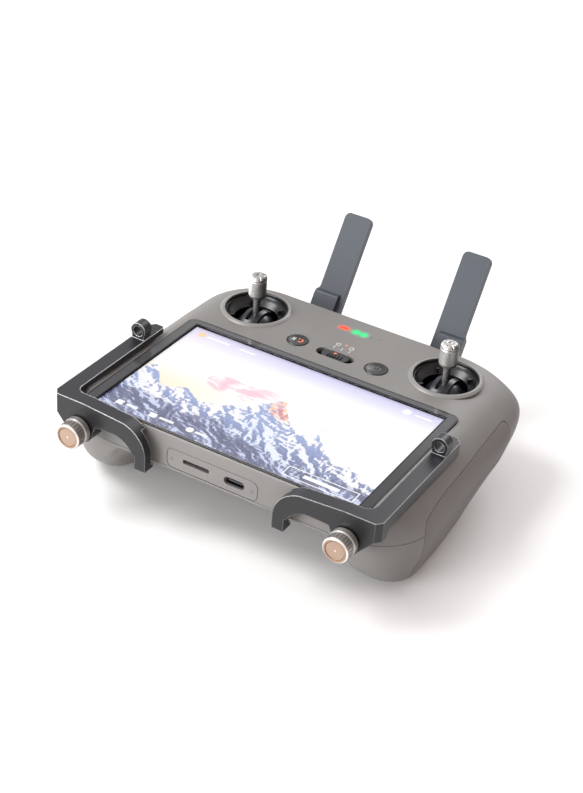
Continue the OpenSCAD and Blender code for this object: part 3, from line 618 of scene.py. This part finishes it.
    # plain marks, in millimetres on the screen
    x_mm, y_mm = x * 1000, y * 1000

    def rect(x0, x1, y0, y1):
        return ((x_mm > x0) * (x_mm < x1)) * ((y_mm > y0) * (y_mm < y1))

    def disc(center_x, center_y, radius):
        return g.square_sum(x_mm - center_x, y_mm - center_y) < radius * radius

    marks = rect(-52.6, -41, 69.9, 71.2)
    for mark in (rect(-36, -28, 69.9, 71.2), disc(45.6, 70.7, 1.9), rect(49.4, 57, 70.0, 71.2),
                 rect(-54.4, -51.2, 5.3, 8.4), rect(-49.6, -44.2, 6.2, 7.6),
                 rect(-38.2, -35, 5.3, 8.4), rect(-33.4, -26.6, 6.2, 7.6),
                 disc(-18.8, 7.0, 1.7), rect(-16.2, -10.4, 6.2, 7.6), rect(34, 50, 5.6, 7.8)):
        marks = marks.at_least(mark)
    frame_mark = rect(26, 57.5, 3.2, 9.9) - rect(26.5, 57.0, 3.7, 9.4)
    picture = g.mix(marks.at_least(frame_mark), picture, (1, 1, 1, 1))
    picture = g.mix(disc(-55.4, 70.6, 1.9), picture, (1.0, 0.66, 0.36, 1))

    # only the picture itself is lit; its surround stays dark
    lit = rect(-PICTURE_HALF, PICTURE_HALF, 0.15, PICTURE_FAR)
    brightness = 1.2
    g.principled(Base_Color=(0.004, 0.004, 0.005, 1), Roughness=0.8, Specular_IOR_Level=0.0,
                 Emission_Color=picture, Emission_Strength=lit * brightness)


def glass_material():
    """thin cover glass: clear window, dark border with a paler band that is painted reflection"""
    g = new_material("cover_glass")
    x, y, _ = g.xyz(g.coord())
    x = abs(x)
    window = (x < WINDOW_HALF * MM) * ((y > 0.1 * MM) * (y < WINDOW_FAR * MM))
    cloud = g.noise(g.coord(), scale=400, detail=2)
    y_mm, x_mm = y * 1000, x * 1000
    # distances from the glass edge inwards and from the window outwards
    from_edge = (GLASS_HALF - x_mm).at_most((y_mm + -GLASS_NEAR).at_most(GLASS_FAR - y_mm))
    from_window = (x_mm - WINDOW_HALF).at_least((y_mm * -1.0).at_least(y_mm - WINDOW_FAR))
    # painted reflection: a pale grey band over the dark border, weaker towards the near outer
    # corners
    band = g.rise(from_edge, 0.45, 0.75) * g.rise(from_window, 0.5, 0.8)
    near_corners = g.fall(y_mm, 20, 74) * g.rise(x * 1000, 20, 55)
    band = band * near_corners.times_plus(-0.6, 1.0)
    dark = g.mix(cloud, (0.010, 0.010, 0.013, 1), (0.014, 0.014, 0.017, 1))
    pale = g.mix(cloud, (0.078, 0.078, 0.082, 1), (0.090, 0.090, 0.094, 1))
    border = g.node("BsdfDiffuse", {0: g.mix(band, dark, pale)})
    base = g.mix_shader(window, border, g.node("BsdfTransparent", {}))
    # the window reflects less than the border
    reflection = g.node("Fresnel", {"IOR": 1.5}) * window.times_plus(-0.72, 1.0)
    g.surface(g.mix_shader(reflection, base, g.node("BsdfGlossy", {"Roughness": 0.04})))


def grip_material():
    """moulded grip: fine raised lozenges, with painted shade in the hollows between them"""
    g = new_material("grip_texture")
    _, y, z = g.xyz(g.coord())
    frequency = 2 * math.pi / 0.0016  # one wave in 1.6 mm
    height = (g.math("SINE", (y + z) * frequency) * g.math("SINE", (y - z) * frequency))
    # painted shade: the colour is slightly darker in the hollows and lighter on the raised tops
    color = g.mix(g.rise(height, -0.6, 0.6), linear((102, 98, 96)), linear((107, 103, 101)))
    g.principled(Base_Color=color, Roughness=0.62,
                 Normal=g.bump(height, strength=0.22, distance=0.00012, normal=g.bevel(0.3)))


def stick_material():
    """polished turned steel, with painted reflection: light and dark bands along the barrel, set by
    the way the surface faces
    """
    g = new_material("stick_steel")
    facing = g.xyz(g.normal())
    # painted reflection: faces turned to the near left are bright, and faces turned to the far
    # right are dark
    light = facing[1].times_plus(-0.52, facing[0] * -0.85)  # bright towards the near left
    haze = g.noise(g.vector_math("MULTIPLY", g.coord(), (1, 1, 6)), scale=120, detail=2)
    color = g.mix(g.rise(light, -0.85, 0.9), linear((58, 58, 61)), linear((236, 234, 231)))
    color = g.mix(haze * 0.12, color, linear((128, 127, 126)))
    g.principled(Base_Color=color, Roughness=haze.times_plus(0.08, 0.22), Metallic=0.85,
                 Normal=g.bump(haze, strength=0.02, distance=0.00002))


def rim_material():
    """rim of a stick well: shell colour outside, black painted shade inside the mouth"""
    g = new_material("rim_plastic")
    co = g.coord()
    x, y, _ = g.xyz(co)
    radius = g.radius_mm(abs(x) - WELL_X * MM, y - WELL_Y * MM)
    grain = g.noise(co, scale=2400, detail=2, rough=0.6)
    outside = g.mix(grain, linear((118, 116, 114)), linear((124, 122, 120)))
    # painted shade: inside a radius of about 14.3 mm, the rim's inner wall is painted black
    g.principled(Base_Color=g.mix(g.rise(radius, 14.15, 14.4), linear((14, 14, 17)), outside),
                 Roughness=0.34,
                 Normal=g.bump(grain, strength=0.05, distance=0.00006, normal=g.bevel(0.2)))


def shell_material():
    """warm grey matt plastic, with painted lamp light glowing faintly round the lamps"""
    g = new_material("shell_plastic")
    co = g.coord()
    x, y, z = g.xyz(co)

    def glow(lamps, reach):
        """painted lamp light round the lamps on the top face; reach in millimetres"""
        total = None
        for lamp_x in lamps:
            distance2 = g.square_sum(x - lamp_x * MM, y - LAMP_Y * MM)
            light = g.math("EXPONENT", distance2 * (-1 / (reach * MM) ** 2))
            total = light if total is None else total + light
        return total * (z > -3 * MM)

    warm, green = glow(LAMP_X[:2], reach=1.45), glow(LAMP_X[2:4], reach=1.85)
    color = mottled(g, co, (110, 107, 105), 0.03)
    # painted lamp light: red and green tint and emitted glow on the shell round the lamps
    color = g.mix(g.rise(warm, 0.05, 0.8), color, (0.55, 0.02, 0.004, 1))
    color = g.mix(g.rise(green, 0.05, 0.8), color, (0.0, 0.32, 0.10, 1))
    light = g.vector_math("ADD", g.tinted((1.0, 0.09, 0.02), warm),
                          g.tinted((0.01, 0.72, 0.26), green))
    grain = g.noise(co, scale=2400, detail=2, rough=0.6)
    g.principled(Base_Color=color, Roughness=0.48, Emission_Color=light, Emission_Strength=0.9,
                 Normal=g.bump(grain, strength=0.10, distance=0.00008, normal=g.bevel(0.35)))


def bracket_material():
    """near-black alloy with painted light: lighter top faces, and bright edges that are painted
    highlight as well as bare metal
    """
    g = new_material("bracket_alloy")
    co = g.coord()
    grain = g.noise(co, scale=1500, detail=3, rough=0.6)
    # painted light: the top faces are lighter than the sides
    shaded_side_color = g.mix(grain, linear((13, 13, 16)), linear((20, 20, 24)))
    lit_top_color = g.mix(grain, linear((24, 25, 30)), linear((33, 34, 40)))
    normal = g.normal()
    color = g.mix(g.rise(g.xyz(normal)[2], 0.5, 0.95), shaded_side_color, lit_top_color)
    # an edge is where the rounded normal leaves the true one
    soft = g.bevel(0.55)
    flatness = g.vector_math("DOT_PRODUCT", soft, normal.sibling("True Normal"), output="Value")
    # painted highlight and wear: bright metal along the edges
    patches = g.noise(co, scale=260, detail=4, rough=0.6) - 0.5
    edge_wear_and_highlight = patches.times_plus(0.03, 1.0 - flatness)
    up = g.xyz(soft)[2]
    upward_edge_highlight = g.rise(up, 0.15, 0.4) * g.fall(up, 0.975, 0.995)
    # bright edges are painted highlight as well as bare metal: weaker towards the right and
    # stronger on upward edges, as the light falls
    side = g.rise(g.xyz(co)[0] * 1000, 0, 66).times_plus(-0.45, 1.0)
    bare = g.rise(edge_wear_and_highlight, 0.02, 0.07) * side * upward_edge_highlight.times_plus(0.8, 0.2)
    g.principled(Base_Color=g.mix(bare, color, linear((240, 241, 244))), Roughness=0.36,
                 Normal=g.bump(grain, strength=0.08, distance=0.00005, normal=g.bevel(0.25)))


# name, sRGB, roughness, grain strength, grain scale, colour variation, edge bevel in mm
PLASTICS = (
    ("cup_plastic", (13, 14, 19), 0.30, 0.05, 2400, 0.05, 0.2),
    ("port_inside", (12, 12, 13), 0.6, 0.05, 2400, 0.05),
    ("black_plastic", (34, 34, 37), 0.5, 0.1, 2400, 0.08),
    ("dark_plastic", (24, 26, 34), 0.30, 0.06, 2400, 0.08),
    ("button_plastic", (33, 32, 33), 0.36, 0.08, 2600, 0.05, 0.12),
    ("antenna_plastic", (56, 61, 70), 0.42, 0.10, 2200, 0.04, 0.3),
    ("circuit_board", (20, 84, 56), 0.4, 0.1, 900, 0.2),
    ("cell_sleeve", (40, 92, 158), 0.3, 0.03, 900, 0.05),
    ("pad_rubber", (26, 26, 27), 0.8, 0.2, 1800, 0.1),
    ("mark_light", (196, 194, 190), 0.5, 0.02, 900, 0.02),
    ("mark_orange", (226, 128, 84), 0.5, 0.02, 900, 0.02),
    ("mark_dark", (92, 91, 92), 0.5, 0.02, 900, 0.02),
    ("lamp_off", (112, 108, 104), 0.3, 0.02, 900, 0.05))
# name, sRGB, roughness
METALS = (
    ("port_shroud", (92, 92, 96), 0.45),
    ("frame_alloy", (196, 198, 202), 0.38),
    ("port_steel", (196, 197, 200), 0.28),
    ("black_steel", (70, 70, 74), 0.4),
    ("insert_brass", (220, 190, 120), 0.3))

shell_material()
grip_material()
rim_material()
for row in PLASTICS:
    plastic(*row)
for row in METALS:
    metal(*row)
stick_material()
# the near-white band from radius 5.0 to 5.5 mm is a painted highlight on the knob's rim
turned("knob_alloy", [
    (0, (214, 196, 182), 0.45), (0.45, (166, 143, 127), 0.5), (3.95, (112, 84, 68), 0.5),
    (4.25, (164, 140, 122), 0.45), (5.0, (246, 240, 236), 0.3), (5.5, (150, 144, 140), 0.38)])
turned("collar_steel", [
    (0, (150, 148, 146), 0.4), (4.9, (92, 90, 90), 0.4), (5.3, (178, 175, 172), 0.36)])
picture_material()
glass_material()
emissive("lamp_warm", (255, 84, 26), strength=1.1)
emissive("lamp_green", (40, 240, 128), strength=1.2)
bracket_material()


def paint(ob, material):
    ob.data.materials.clear()
    ob.data.materials.append(MATERIALS[material])


def piece(ob, body, material, slot, *nodes):
    paint(ob, material)
    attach(ob, body)
    if nodes:
        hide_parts(*nodes)


# ------------------------------------------------------------------ grip panel outline
# (y, z) seen from the side; it runs past the body at its first and last points
PANEL = [
    (18.5, -50), (18.9, -36.3), (19.9, -31.5), (20.8, -27), (20.3, -22.5), (19.3, -17.5),
    (19.6, -13.4), (21.6, -10.8), (25.8, -9.7), (34.8, -8.9), (45.1, -8.5), (65.8, -8.5),
    (88.2, -8.3), (94.3, -8.1), (98.1, -8.2), (99.9, -9.2), (99.6, -11.2), (98, -13.5),
    (96.9, -16.5), (96.6, -20.5), (96.2, -24.2), (94.2, -25.7), (89.3, -25.7), (82.6, -25.6),
    (74, -26.4), (66, -29), (60, -34), (57, -50)]


def smooth_path(points, steps):
    """Catmull-Rom curve, with the first and last segments straight"""
    pts = [np.array(p, float) for p in points]
    out = [points[0]]
    for i in range(1, len(pts) - 2):
        p0, p1, p2, p3 = pts[i - 1:i + 3]
        for j in range(steps):
            t = j / steps
            out.append(tuple(0.5 * (2 * p1 + (p2 - p0) * t + (2 * p0 - 5 * p1 + 4 * p2 - p3) * t * t
                                    + (3 * p1 - p0 - 3 * p2 + p3) * t ** 3)))
    return out + points[-2:]


def grow(points, gap):
    """outline moved out by gap along its own normals"""
    pts = [np.array(p) for p in points]
    loop = list(zip([pts[-1]] + pts[:-1], pts, pts[1:] + [pts[0]]))
    area = sum(here[0] * after[1] - after[0] * here[1] for _, here, after in loop)
    sign = 1 if area > 0 else -1
    out = []
    for before, here, after in loop:
        edge_in = (here - before) / max(np.linalg.norm(here - before), 1e-9)
        edge_out = (after - here) / max(np.linalg.norm(after - here), 1e-9)
        normal = np.array([edge_in[1] + edge_out[1], -edge_in[0] - edge_out[0]]) * sign
        normal /= max(np.linalg.norm(normal), 1e-9)
        out.append(tuple(here + normal * gap))
    return out


panel_outline = smooth_path(PANEL, 4)

# ------------------------------------------------------------------ body skins
SKIN_STATIONS, SKIN_STEPS = ((84, 8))
outer = body_loft("outer_skin", 0, SKIN_STATIONS, SKIN_STEPS)
inner = body_loft("inner_skin", WALL, 30, 3)
recess_floor = body_loft("under_skin", PANEL_THICK + 0.05, SKIN_STATIONS, SKIN_STEPS)
panel_floor = body_loft("under_skin2", PANEL_THICK, SKIN_STATIONS, SKIN_STEPS)

# recesses for the grip panels
recess_right = prism("recess", grow(panel_outline, PANEL_GAP), PANEL_X - 0.16, 92, "x")
boolean(recess_right, recess_floor, keep=True)
recess = join([recess_right, mirrored(recess_right, "recess_l")], "recess_both")

base = copy_obj(outer, "shell_base")
boolean(base, inner, recess, keep=True)

# upper and lower shells, with a fine gap between them
front = copy_obj(base, "front_shell_skin")
boolean(front, box_cutter(-100, 100, -20, 150, -70, SPLIT_Z + 0.05))
rear = copy_obj(base, "rear_shell_skin")
boolean(rear, box_cutter(-100, 100, -20, 150, SPLIT_Z - 0.12, 20))

# ------------------------------------------------------------------ front shell and well rims
# (radius, z) round a raised well rim, closed on itself
RIM_PROFILE = [
    (13.78, -5.0), (14.9, -5.0), (15.1, -1.2), (16.3, 0.02), (15.9, 0.30), (15.5, 0.62),
    (15.0, 0.86), (14.6, 0.95), (14.2, 0.88), (13.9, 0.6), (13.78, 0.2), (13.78, -5.0)]

rims, cuts, far_cuts = [], [], []
for sign, side in SIDES:
    rims.append(lathe(side + "_well_rim", RIM_PROFILE, sign * WELL_X, WELL_Y,
                      count=96, smooth=40))
    cuts.append(cutter(circle(sign * WELL_X, WELL_Y, 15.3, 96), -9, 5))
    cuts.append(cutter(circle(sign * SCREW_X, SCREW_Z, 2.4, 40), -6, 7, "y"))
    # round pocket in the far corner, round hole in the far face
    far_cuts.append(cutter(circle(sign * 64.5, 117.1, 8.4, 64), -15.4, -8.6))
    far_cuts.append(cutter(circle(sign * 49, -9, 4.75, 48), 118.5, 130, "y"))
# buttons, mode slider, lamps
cuts.append(cutter(circle(HOME_X, BUTTON_Y, 4.95, 56), -6, 5))
cuts.append(cutter(circle(POWER_X, BUTTON_Y, 5.25, 56), -6, 5))
cuts.append(cutter(round_rect(-8.5, 9.5, 86.5, 92.5, 2.99, 12), -6, 5))
for x in LAMP_X:
    lamp = round_rect(x - 0.95, x + 0.95, LAMP_Y - 1.15, LAMP_Y + 1.15, 0.93, 6)
    cuts.append(cutter(lamp, -6, 5))
# two openings in the near edge
cuts.append(cutter(round_rect(3.1, 12.6, -13.2, -9.5, 1.8), -3, 4, "y"))
cuts.append(cutter(round_rect(-16.3, -3.9, -12, -10, 0.7), -3, 4, "y"))
boolean(front, join(cuts, "cuts"), join(far_cuts, "far_cuts"))

# seat of the cover glass, and the deeper opening below it
glass_seat = round_rect(-GLASS_HALF - 0.15, GLASS_HALF + 0.15,
                        GLASS_NEAR - 0.1, GLASS_FAR + 0.15, 3.1, 10)
boolean(front, cutter(glass_seat, -1.16, 5), box_cutter(-63.6, 63.6, 1.9, 77.1, -8, 2))
# engraved outline round the near openings
engraving = cutter(round_rect(-24, 19, -16.2, -6.6, 3), -3, NEAR_Y + 0.22, "y")
boolean(engraving, cutter(round_rect(-23.55, 18.55, -15.75, -7.05, 2.6), -4, 2, "y"))
boolean(front, engraving)
shade(front, 32)
piece(front, "controller", "shell_plastic", "shell_plastic", "front_shell")
for rim in rims:
    piece(rim, "controller", "rim_plastic", "shell_plastic")

# ------------------------------------------------------------------ rear shell
cuts = []
for sign, _ in SIDES:
    for x, y in ((41, 14), (41, 71), (14, 116)):  # screw wells
        cuts.append(cutter(circle(sign * x, y, 2.8, 40), -40, -18.8))
    cuts.append(cutter(circle(sign * 43.6, 81, 3.8, 48), -40, -10))  # rear button
# two rows of slots: slots each side of the middle, pitch, half width, y0, y1, radius
for reach, pitch, half, y0, y1, radius in ((4, 4.4, 0.9, 46, 64, 0.88), (3, 3, 0.6, 28, 34, 0.58)):
    for i in range(-reach, reach + 1):
        slot = round_rect(i * pitch - half, i * pitch + half, y0, y1, radius, 5)
        cuts.append(cutter(slot, -40, -10))
boolean(rear, join(cuts, "cuts"))
shade(rear, 32)
piece(rear, "controller", "shell_plastic", "shell_plastic", "rear_shell")

# ------------------------------------------------------------------ antenna lugs on the far edge
LUG_Y, LUG_Z, LUG_RADIUS, LUG_WIDTH = 127, -27.5, 4.2, 4.4
lug_outline = [(120.8, -18.5), (123.2, -18.7)]
for degrees in range(35, -171, -10):
    angle = math.radians(degrees)
    lug_outline.append((LUG_Y + LUG_RADIUS * math.cos(angle),
                        LUG_Z + LUG_RADIUS * math.sin(angle)))
lug_outline += [(121.5, -24.2), (120.8, -23)]
for sign, side in SIDES:
    for x, place in ((18.9, "inner"), (38.3, "outer")):
        ends = sorted((sign * x, sign * (x + LUG_WIDTH)))
        lug = prism(side + "_lug_" + place, lug_outline, *ends, "x")
        shade(lug, 30)
        piece(lug, "controller", "shell_plastic", "shell_plastic")

# ------------------------------------------------------------------ grip panels
right_panel = copy_obj(outer, "right_grip_skin")
boolean(right_panel, cutter(panel_outline, PANEL_X, 92, "x"), operation="INTERSECT")
boolean(right_panel, panel_floor, keep=True)
shade(right_panel, 32)
left_panel = mirrored(right_panel, "left_grip_skin")
shade(left_panel, 32)
piece(right_panel, "controller", "grip_texture", "grip_texture", "right_grip_panel")
piece(left_panel, "controller", "grip_texture", "grip_texture", "left_grip_panel")
for ob in (outer, inner, recess_floor, panel_floor, recess, base):
    bpy.data.objects.remove(ob)


# ------------------------------------------------------------------ looks of the CAD nodes
def painted_node(name, material):
    """paint a node smooth and weld its seams"""
    ob = NODES[name]
    paint(ob, material)
    for face in ob.data.polygons:
        face.use_smooth = True
    weld = ob.modifiers.new("weld", "WELD")
    weld.merge_threshold = 2e-6
    return ob


def smooth_node(name, material, angle):
    ob = painted_node(name, material)
    split = ob.modifiers.new("split", "EDGE_SPLIT")
    split.split_angle = math.radians(angle)


def bevel_node(name, material, width, segments, angle):
    """a node with bevelled edges; width in millimetres"""
    ob = painted_node(name, material)
    merge = ob.modifiers.new("merge", "DECIMATE")
    merge.decimate_type, merge.angle_limit = "DISSOLVE", math.radians(1.5)
    edge = ob.modifiers.new("edge", "BEVEL")
    edge.width, edge.segments = width * MM, segments
    edge.limit_method, edge.angle_limit = "ANGLE", math.radians(angle)
    edge.use_clamp_overlap = True
    normals = ob.modifiers.new("normals", "WEIGHTED_NORMAL")
    normals.keep_sharp, normals.weight = True, 60


# material, split angle in degrees, node names
SMOOTH_NODES = (
    ("lit_picture", 30, "display_panel"),
    ("frame_alloy", 30, "display_frame heat_sink"),
    ("circuit_board", 30, "main_board control_board"),
    ("black_plastic", 32, "fan_housing fan_impeller speaker"),
    ("cell_sleeve", 32, "left_cell right_cell"),
    ("port_shroud", 32, "usb_c_port"),
    ("port_inside", 32, "card_slot"),
    ("port_steel", 32, "dial_axles left_antenna_pin right_antenna_pin"),
    ("stick_steel", 32, "left_stick right_stick"),
    ("lamp_warm", 32, "warm_lamps"),
    ("lamp_green", 32, "green_lamps"),
    ("lamp_off", 32, "spare_lamps"),
    ("cup_plastic", 32, "left_gimbal_can right_gimbal_can"),
    ("dark_plastic", 32, "left_yoke right_yoke left_stick_dome right_stick_dome"),
    ("button_plastic", 32, "home_button power_button mode_slider record_button shutter_button "
                           "tilt_dial camera_dial left_rear_button right_rear_button"),
    ("black_steel", 32, "case_screws"),
    ("insert_brass", 32, "threaded_inserts"),
    ("pad_rubber", 32, "bracket_pads"),
    ("knob_alloy", 25, "left_thumb_screw right_thumb_screw"),
    ("collar_steel", 25, "left_screw_collar right_screw_collar"))
for material, angle, names in SMOOTH_NODES:
    for name in names.split():
        smooth_node(name, material, angle)
bevel_node("screen_glass", "cover_glass", width=0.25, segments=3, angle=38)
for _, side in SIDES:
    bevel_node(side + "_antenna", "antenna_plastic", width=0.5, segments=3, angle=30)
    bevel_node(side + "_bracket", "bracket_alloy", width=0.3, segments=1, angle=30)

# ------------------------------------------------------------------ stick grips
# (radius, z) from the hollow foot up the barrel to the crown
CAP_PROFILE = (
    [(0, 5.3), (1.95, 5.3), (2.1, 5.45), (2.1, 6.05), (2.3, 6.25), (3.2, 6.55), (3.7, 6.95),
     (3.95, 7.5), (4.0, 8.1), (4.0, 8.4)]
    + [(4.0, 8.5 + 0.6 * i) for i in range(11)]
    + [(4.0, 14.8), (3.97, 14.93), (3.76, 15.08), (3.74, 15.38), (3.95, 15.55), (4.0, 15.8),
       (3.93, 16.2), (3.8, 16.6), (3.55, 16.95), (3.2, 17.22), (2.75, 17.42), (2.25, 17.5),
       (1.2, 17.5), (1.0, 17.42), (0.9, 17.1), (0, 17.1)])


def carve_cap(r, z, angle):
    """sixty fine flutes round the barrel and eight notches in the crown"""
    if 8.3 < z < 14.7 and r > 3.9:
        return r - 0.03 * (0.5 + 0.5 * math.cos(60 * angle))
    if z > 16.85 and 2.2 < r < 3.7:
        return r - 0.55 * max(0.0, math.cos(8 * angle)) ** 8
    return r


for sign, side in SIDES:
    grip = lathe(side + "_stick_grip", CAP_PROFILE, sign * WELL_X, WELL_Y,
                 count=240, smooth=28, carve=carve_cap)
    piece(grip, side + "_stick", "stick_steel", "stick_steel", side + "_stick_cap")

# ------------------------------------------------------------------ marks on the controls
# name, outline, low z, high z, body, material
MARKS = [
    ("power_mark_arc", arc_band(POWER_X, 90.4, 1.9, 0.42, 125, 415),
     0.08, 0.16, "power_button", "mark_dark"),
    ("power_mark_bar", round_rect(19.9, 20.3, 90.9, 92.9, 0.19, 3),
     0.08, 0.16, "power_button", "mark_dark"),
    ("home_mark_arc", arc_band(-17.6, 90.7, 1.15, 0.5, -120, 120),
     0.08, 0.17, "home_button", "mark_orange"),
    ("home_mark_bar", round_rect(-19.0, -17.4, 91.6, 92.1, 0.22, 3),
     0.08, 0.17, "home_button", "mark_orange"),
    ("pause_mark_a", round_rect(-21.3, -20.85, 89.4, 91.8, 0.2, 3),
     0.08, 0.16, "home_button", "mark_light"),
    ("pause_mark_b", round_rect(-20.5, -20.05, 89.4, 91.8, 0.2, 3),
     0.08, 0.16, "home_button", "mark_light"),
    ("slider_dot", circle(-0.3, 91.25, 0.7, 24), -0.33, -0.24, "mode_slider", "mark_orange")]
for name, outline, material in (
        ("mode_mark_a", arc_band(-2.7, 98.4, 1.0, 0.36, 20, 340), "mark_light"),
        ("mode_mark_b", circle(0.5, 99.5, 0.62, 20), "mark_orange"),
        ("mode_mark_c", arc_band(3.7, 98.4, 1.0, 0.36, -160, 160), "mark_light"),
        ("mode_tick_a", round_rect(-3.4, -3.1, 94.3, 96.6, 0.14, 3), "mark_light"),
        ("mode_tick_b", round_rect(0.35, 0.65, 94.3, 96.6, 0.14, 3), "mark_light"),
        ("mode_tick_c", round_rect(4.1, 4.4, 94.3, 96.6, 0.14, 3), "mark_light")):
    MARKS.append((name, outline, -0.02, 0.05, "controller", material))
for name, x in (("near_mark_a", -21.6), ("near_mark_b", 16.2)):
    outline = [(x - 0.55, -1.03), (x + 0.55, -1.03), (x + 0.55, -0.7), (x - 0.55, -0.7)]
    MARKS.append((name, outline, -12.2, -11.1, "controller", "mark_dark"))

for name, outline, low, high, body, material in MARKS:
    slot = "shell_plastic" if body == "controller" else "button_plastic"
    piece(prism(name, outline, low, high), body, material, slot)

# ------------------------------------------------------------------ floor
lowest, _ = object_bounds()
bpy.ops.mesh.primitive_plane_add(size=6, location=(0, 0.5, lowest.z - 0.0004))
floor = bpy.context.object
floor.name = "floor"
g = new_material("floor_paper")
clouds = g.noise(g.coord(), scale=3, detail=3)
paper = g.principled(Base_Color=g.mix(clouds, (0.80, 0.80, 0.80, 1), (0.84, 0.84, 0.84, 1)),
                     Roughness=0.7)
# seen from below, the floor is clear, so that the back of the object shows
from_below = g.node("NewGeometry", {}, "Backfacing")
g.surface(g.mix_shader(from_below, paper, g.node("BsdfTransparent", {})))
floor.data.materials.append(MATERIALS["floor_paper"])

# ------------------------------------------------------------------ world: white to warm along +X
world = bpy.data.worlds.new("studio")
bpy.context.scene.world = world
world.use_nodes = True
g = Graph(world.node_tree)
background = g.tree.nodes["Background"]
across = g.rise(g.xyz(g.coord("Generated"))[0], -0.1, 0.95)
g.put(background.inputs["Color"], g.mix(across, (1.0, 1.0, 1.0, 1), (0.70, 0.56, 0.52, 1)))
background.inputs["Strength"].default_value = 0.88


# ------------------------------------------------------------------ lights
def area_light(name, location, target, power):
    """square light aimed at the target; metres and watts"""
    light = bpy.data.lights.new(name, "AREA")
    light.shape, light.size, light.energy = "SQUARE", 0.6, power
    ob = link_new(name, light)
    ob.location = location
    ob.rotation_mode = "QUATERNION"
    aim = Vector(target) - Vector(location)
    ob.rotation_quaternion = aim.to_track_quat("-Z", "Y")


area_light("key", location=(-0.75, -0.35, 1.05), target=(0, 0.06, 0), power=14)
area_light("front", location=(-0.5, -0.95, 0.12), target=(-0.02, 0.0, -0.02), power=15)
area_light("rim", location=(0.0, 1.2, 0.7), target=(0, 0.06, 0), power=6)

# ------------------------------------------------------------------ camera
scene = bpy.context.scene
scene.view_settings.view_transform = "Standard"
lens = bpy.data.cameras.new("camera")
lens.lens = 74.0
lens.sensor_width = 36.0
lens.clip_start, lens.clip_end = 0.02, 20
camera = link_new("camera", lens)
camera.location = (0.271685, -0.442625, 0.365807)
camera.rotation_mode = "QUATERNION"
camera.rotation_quaternion = (0.842548, 0.466131, 0.099819, 0.250741)
scene.camera = camera

bpy.context.view_layer.update()
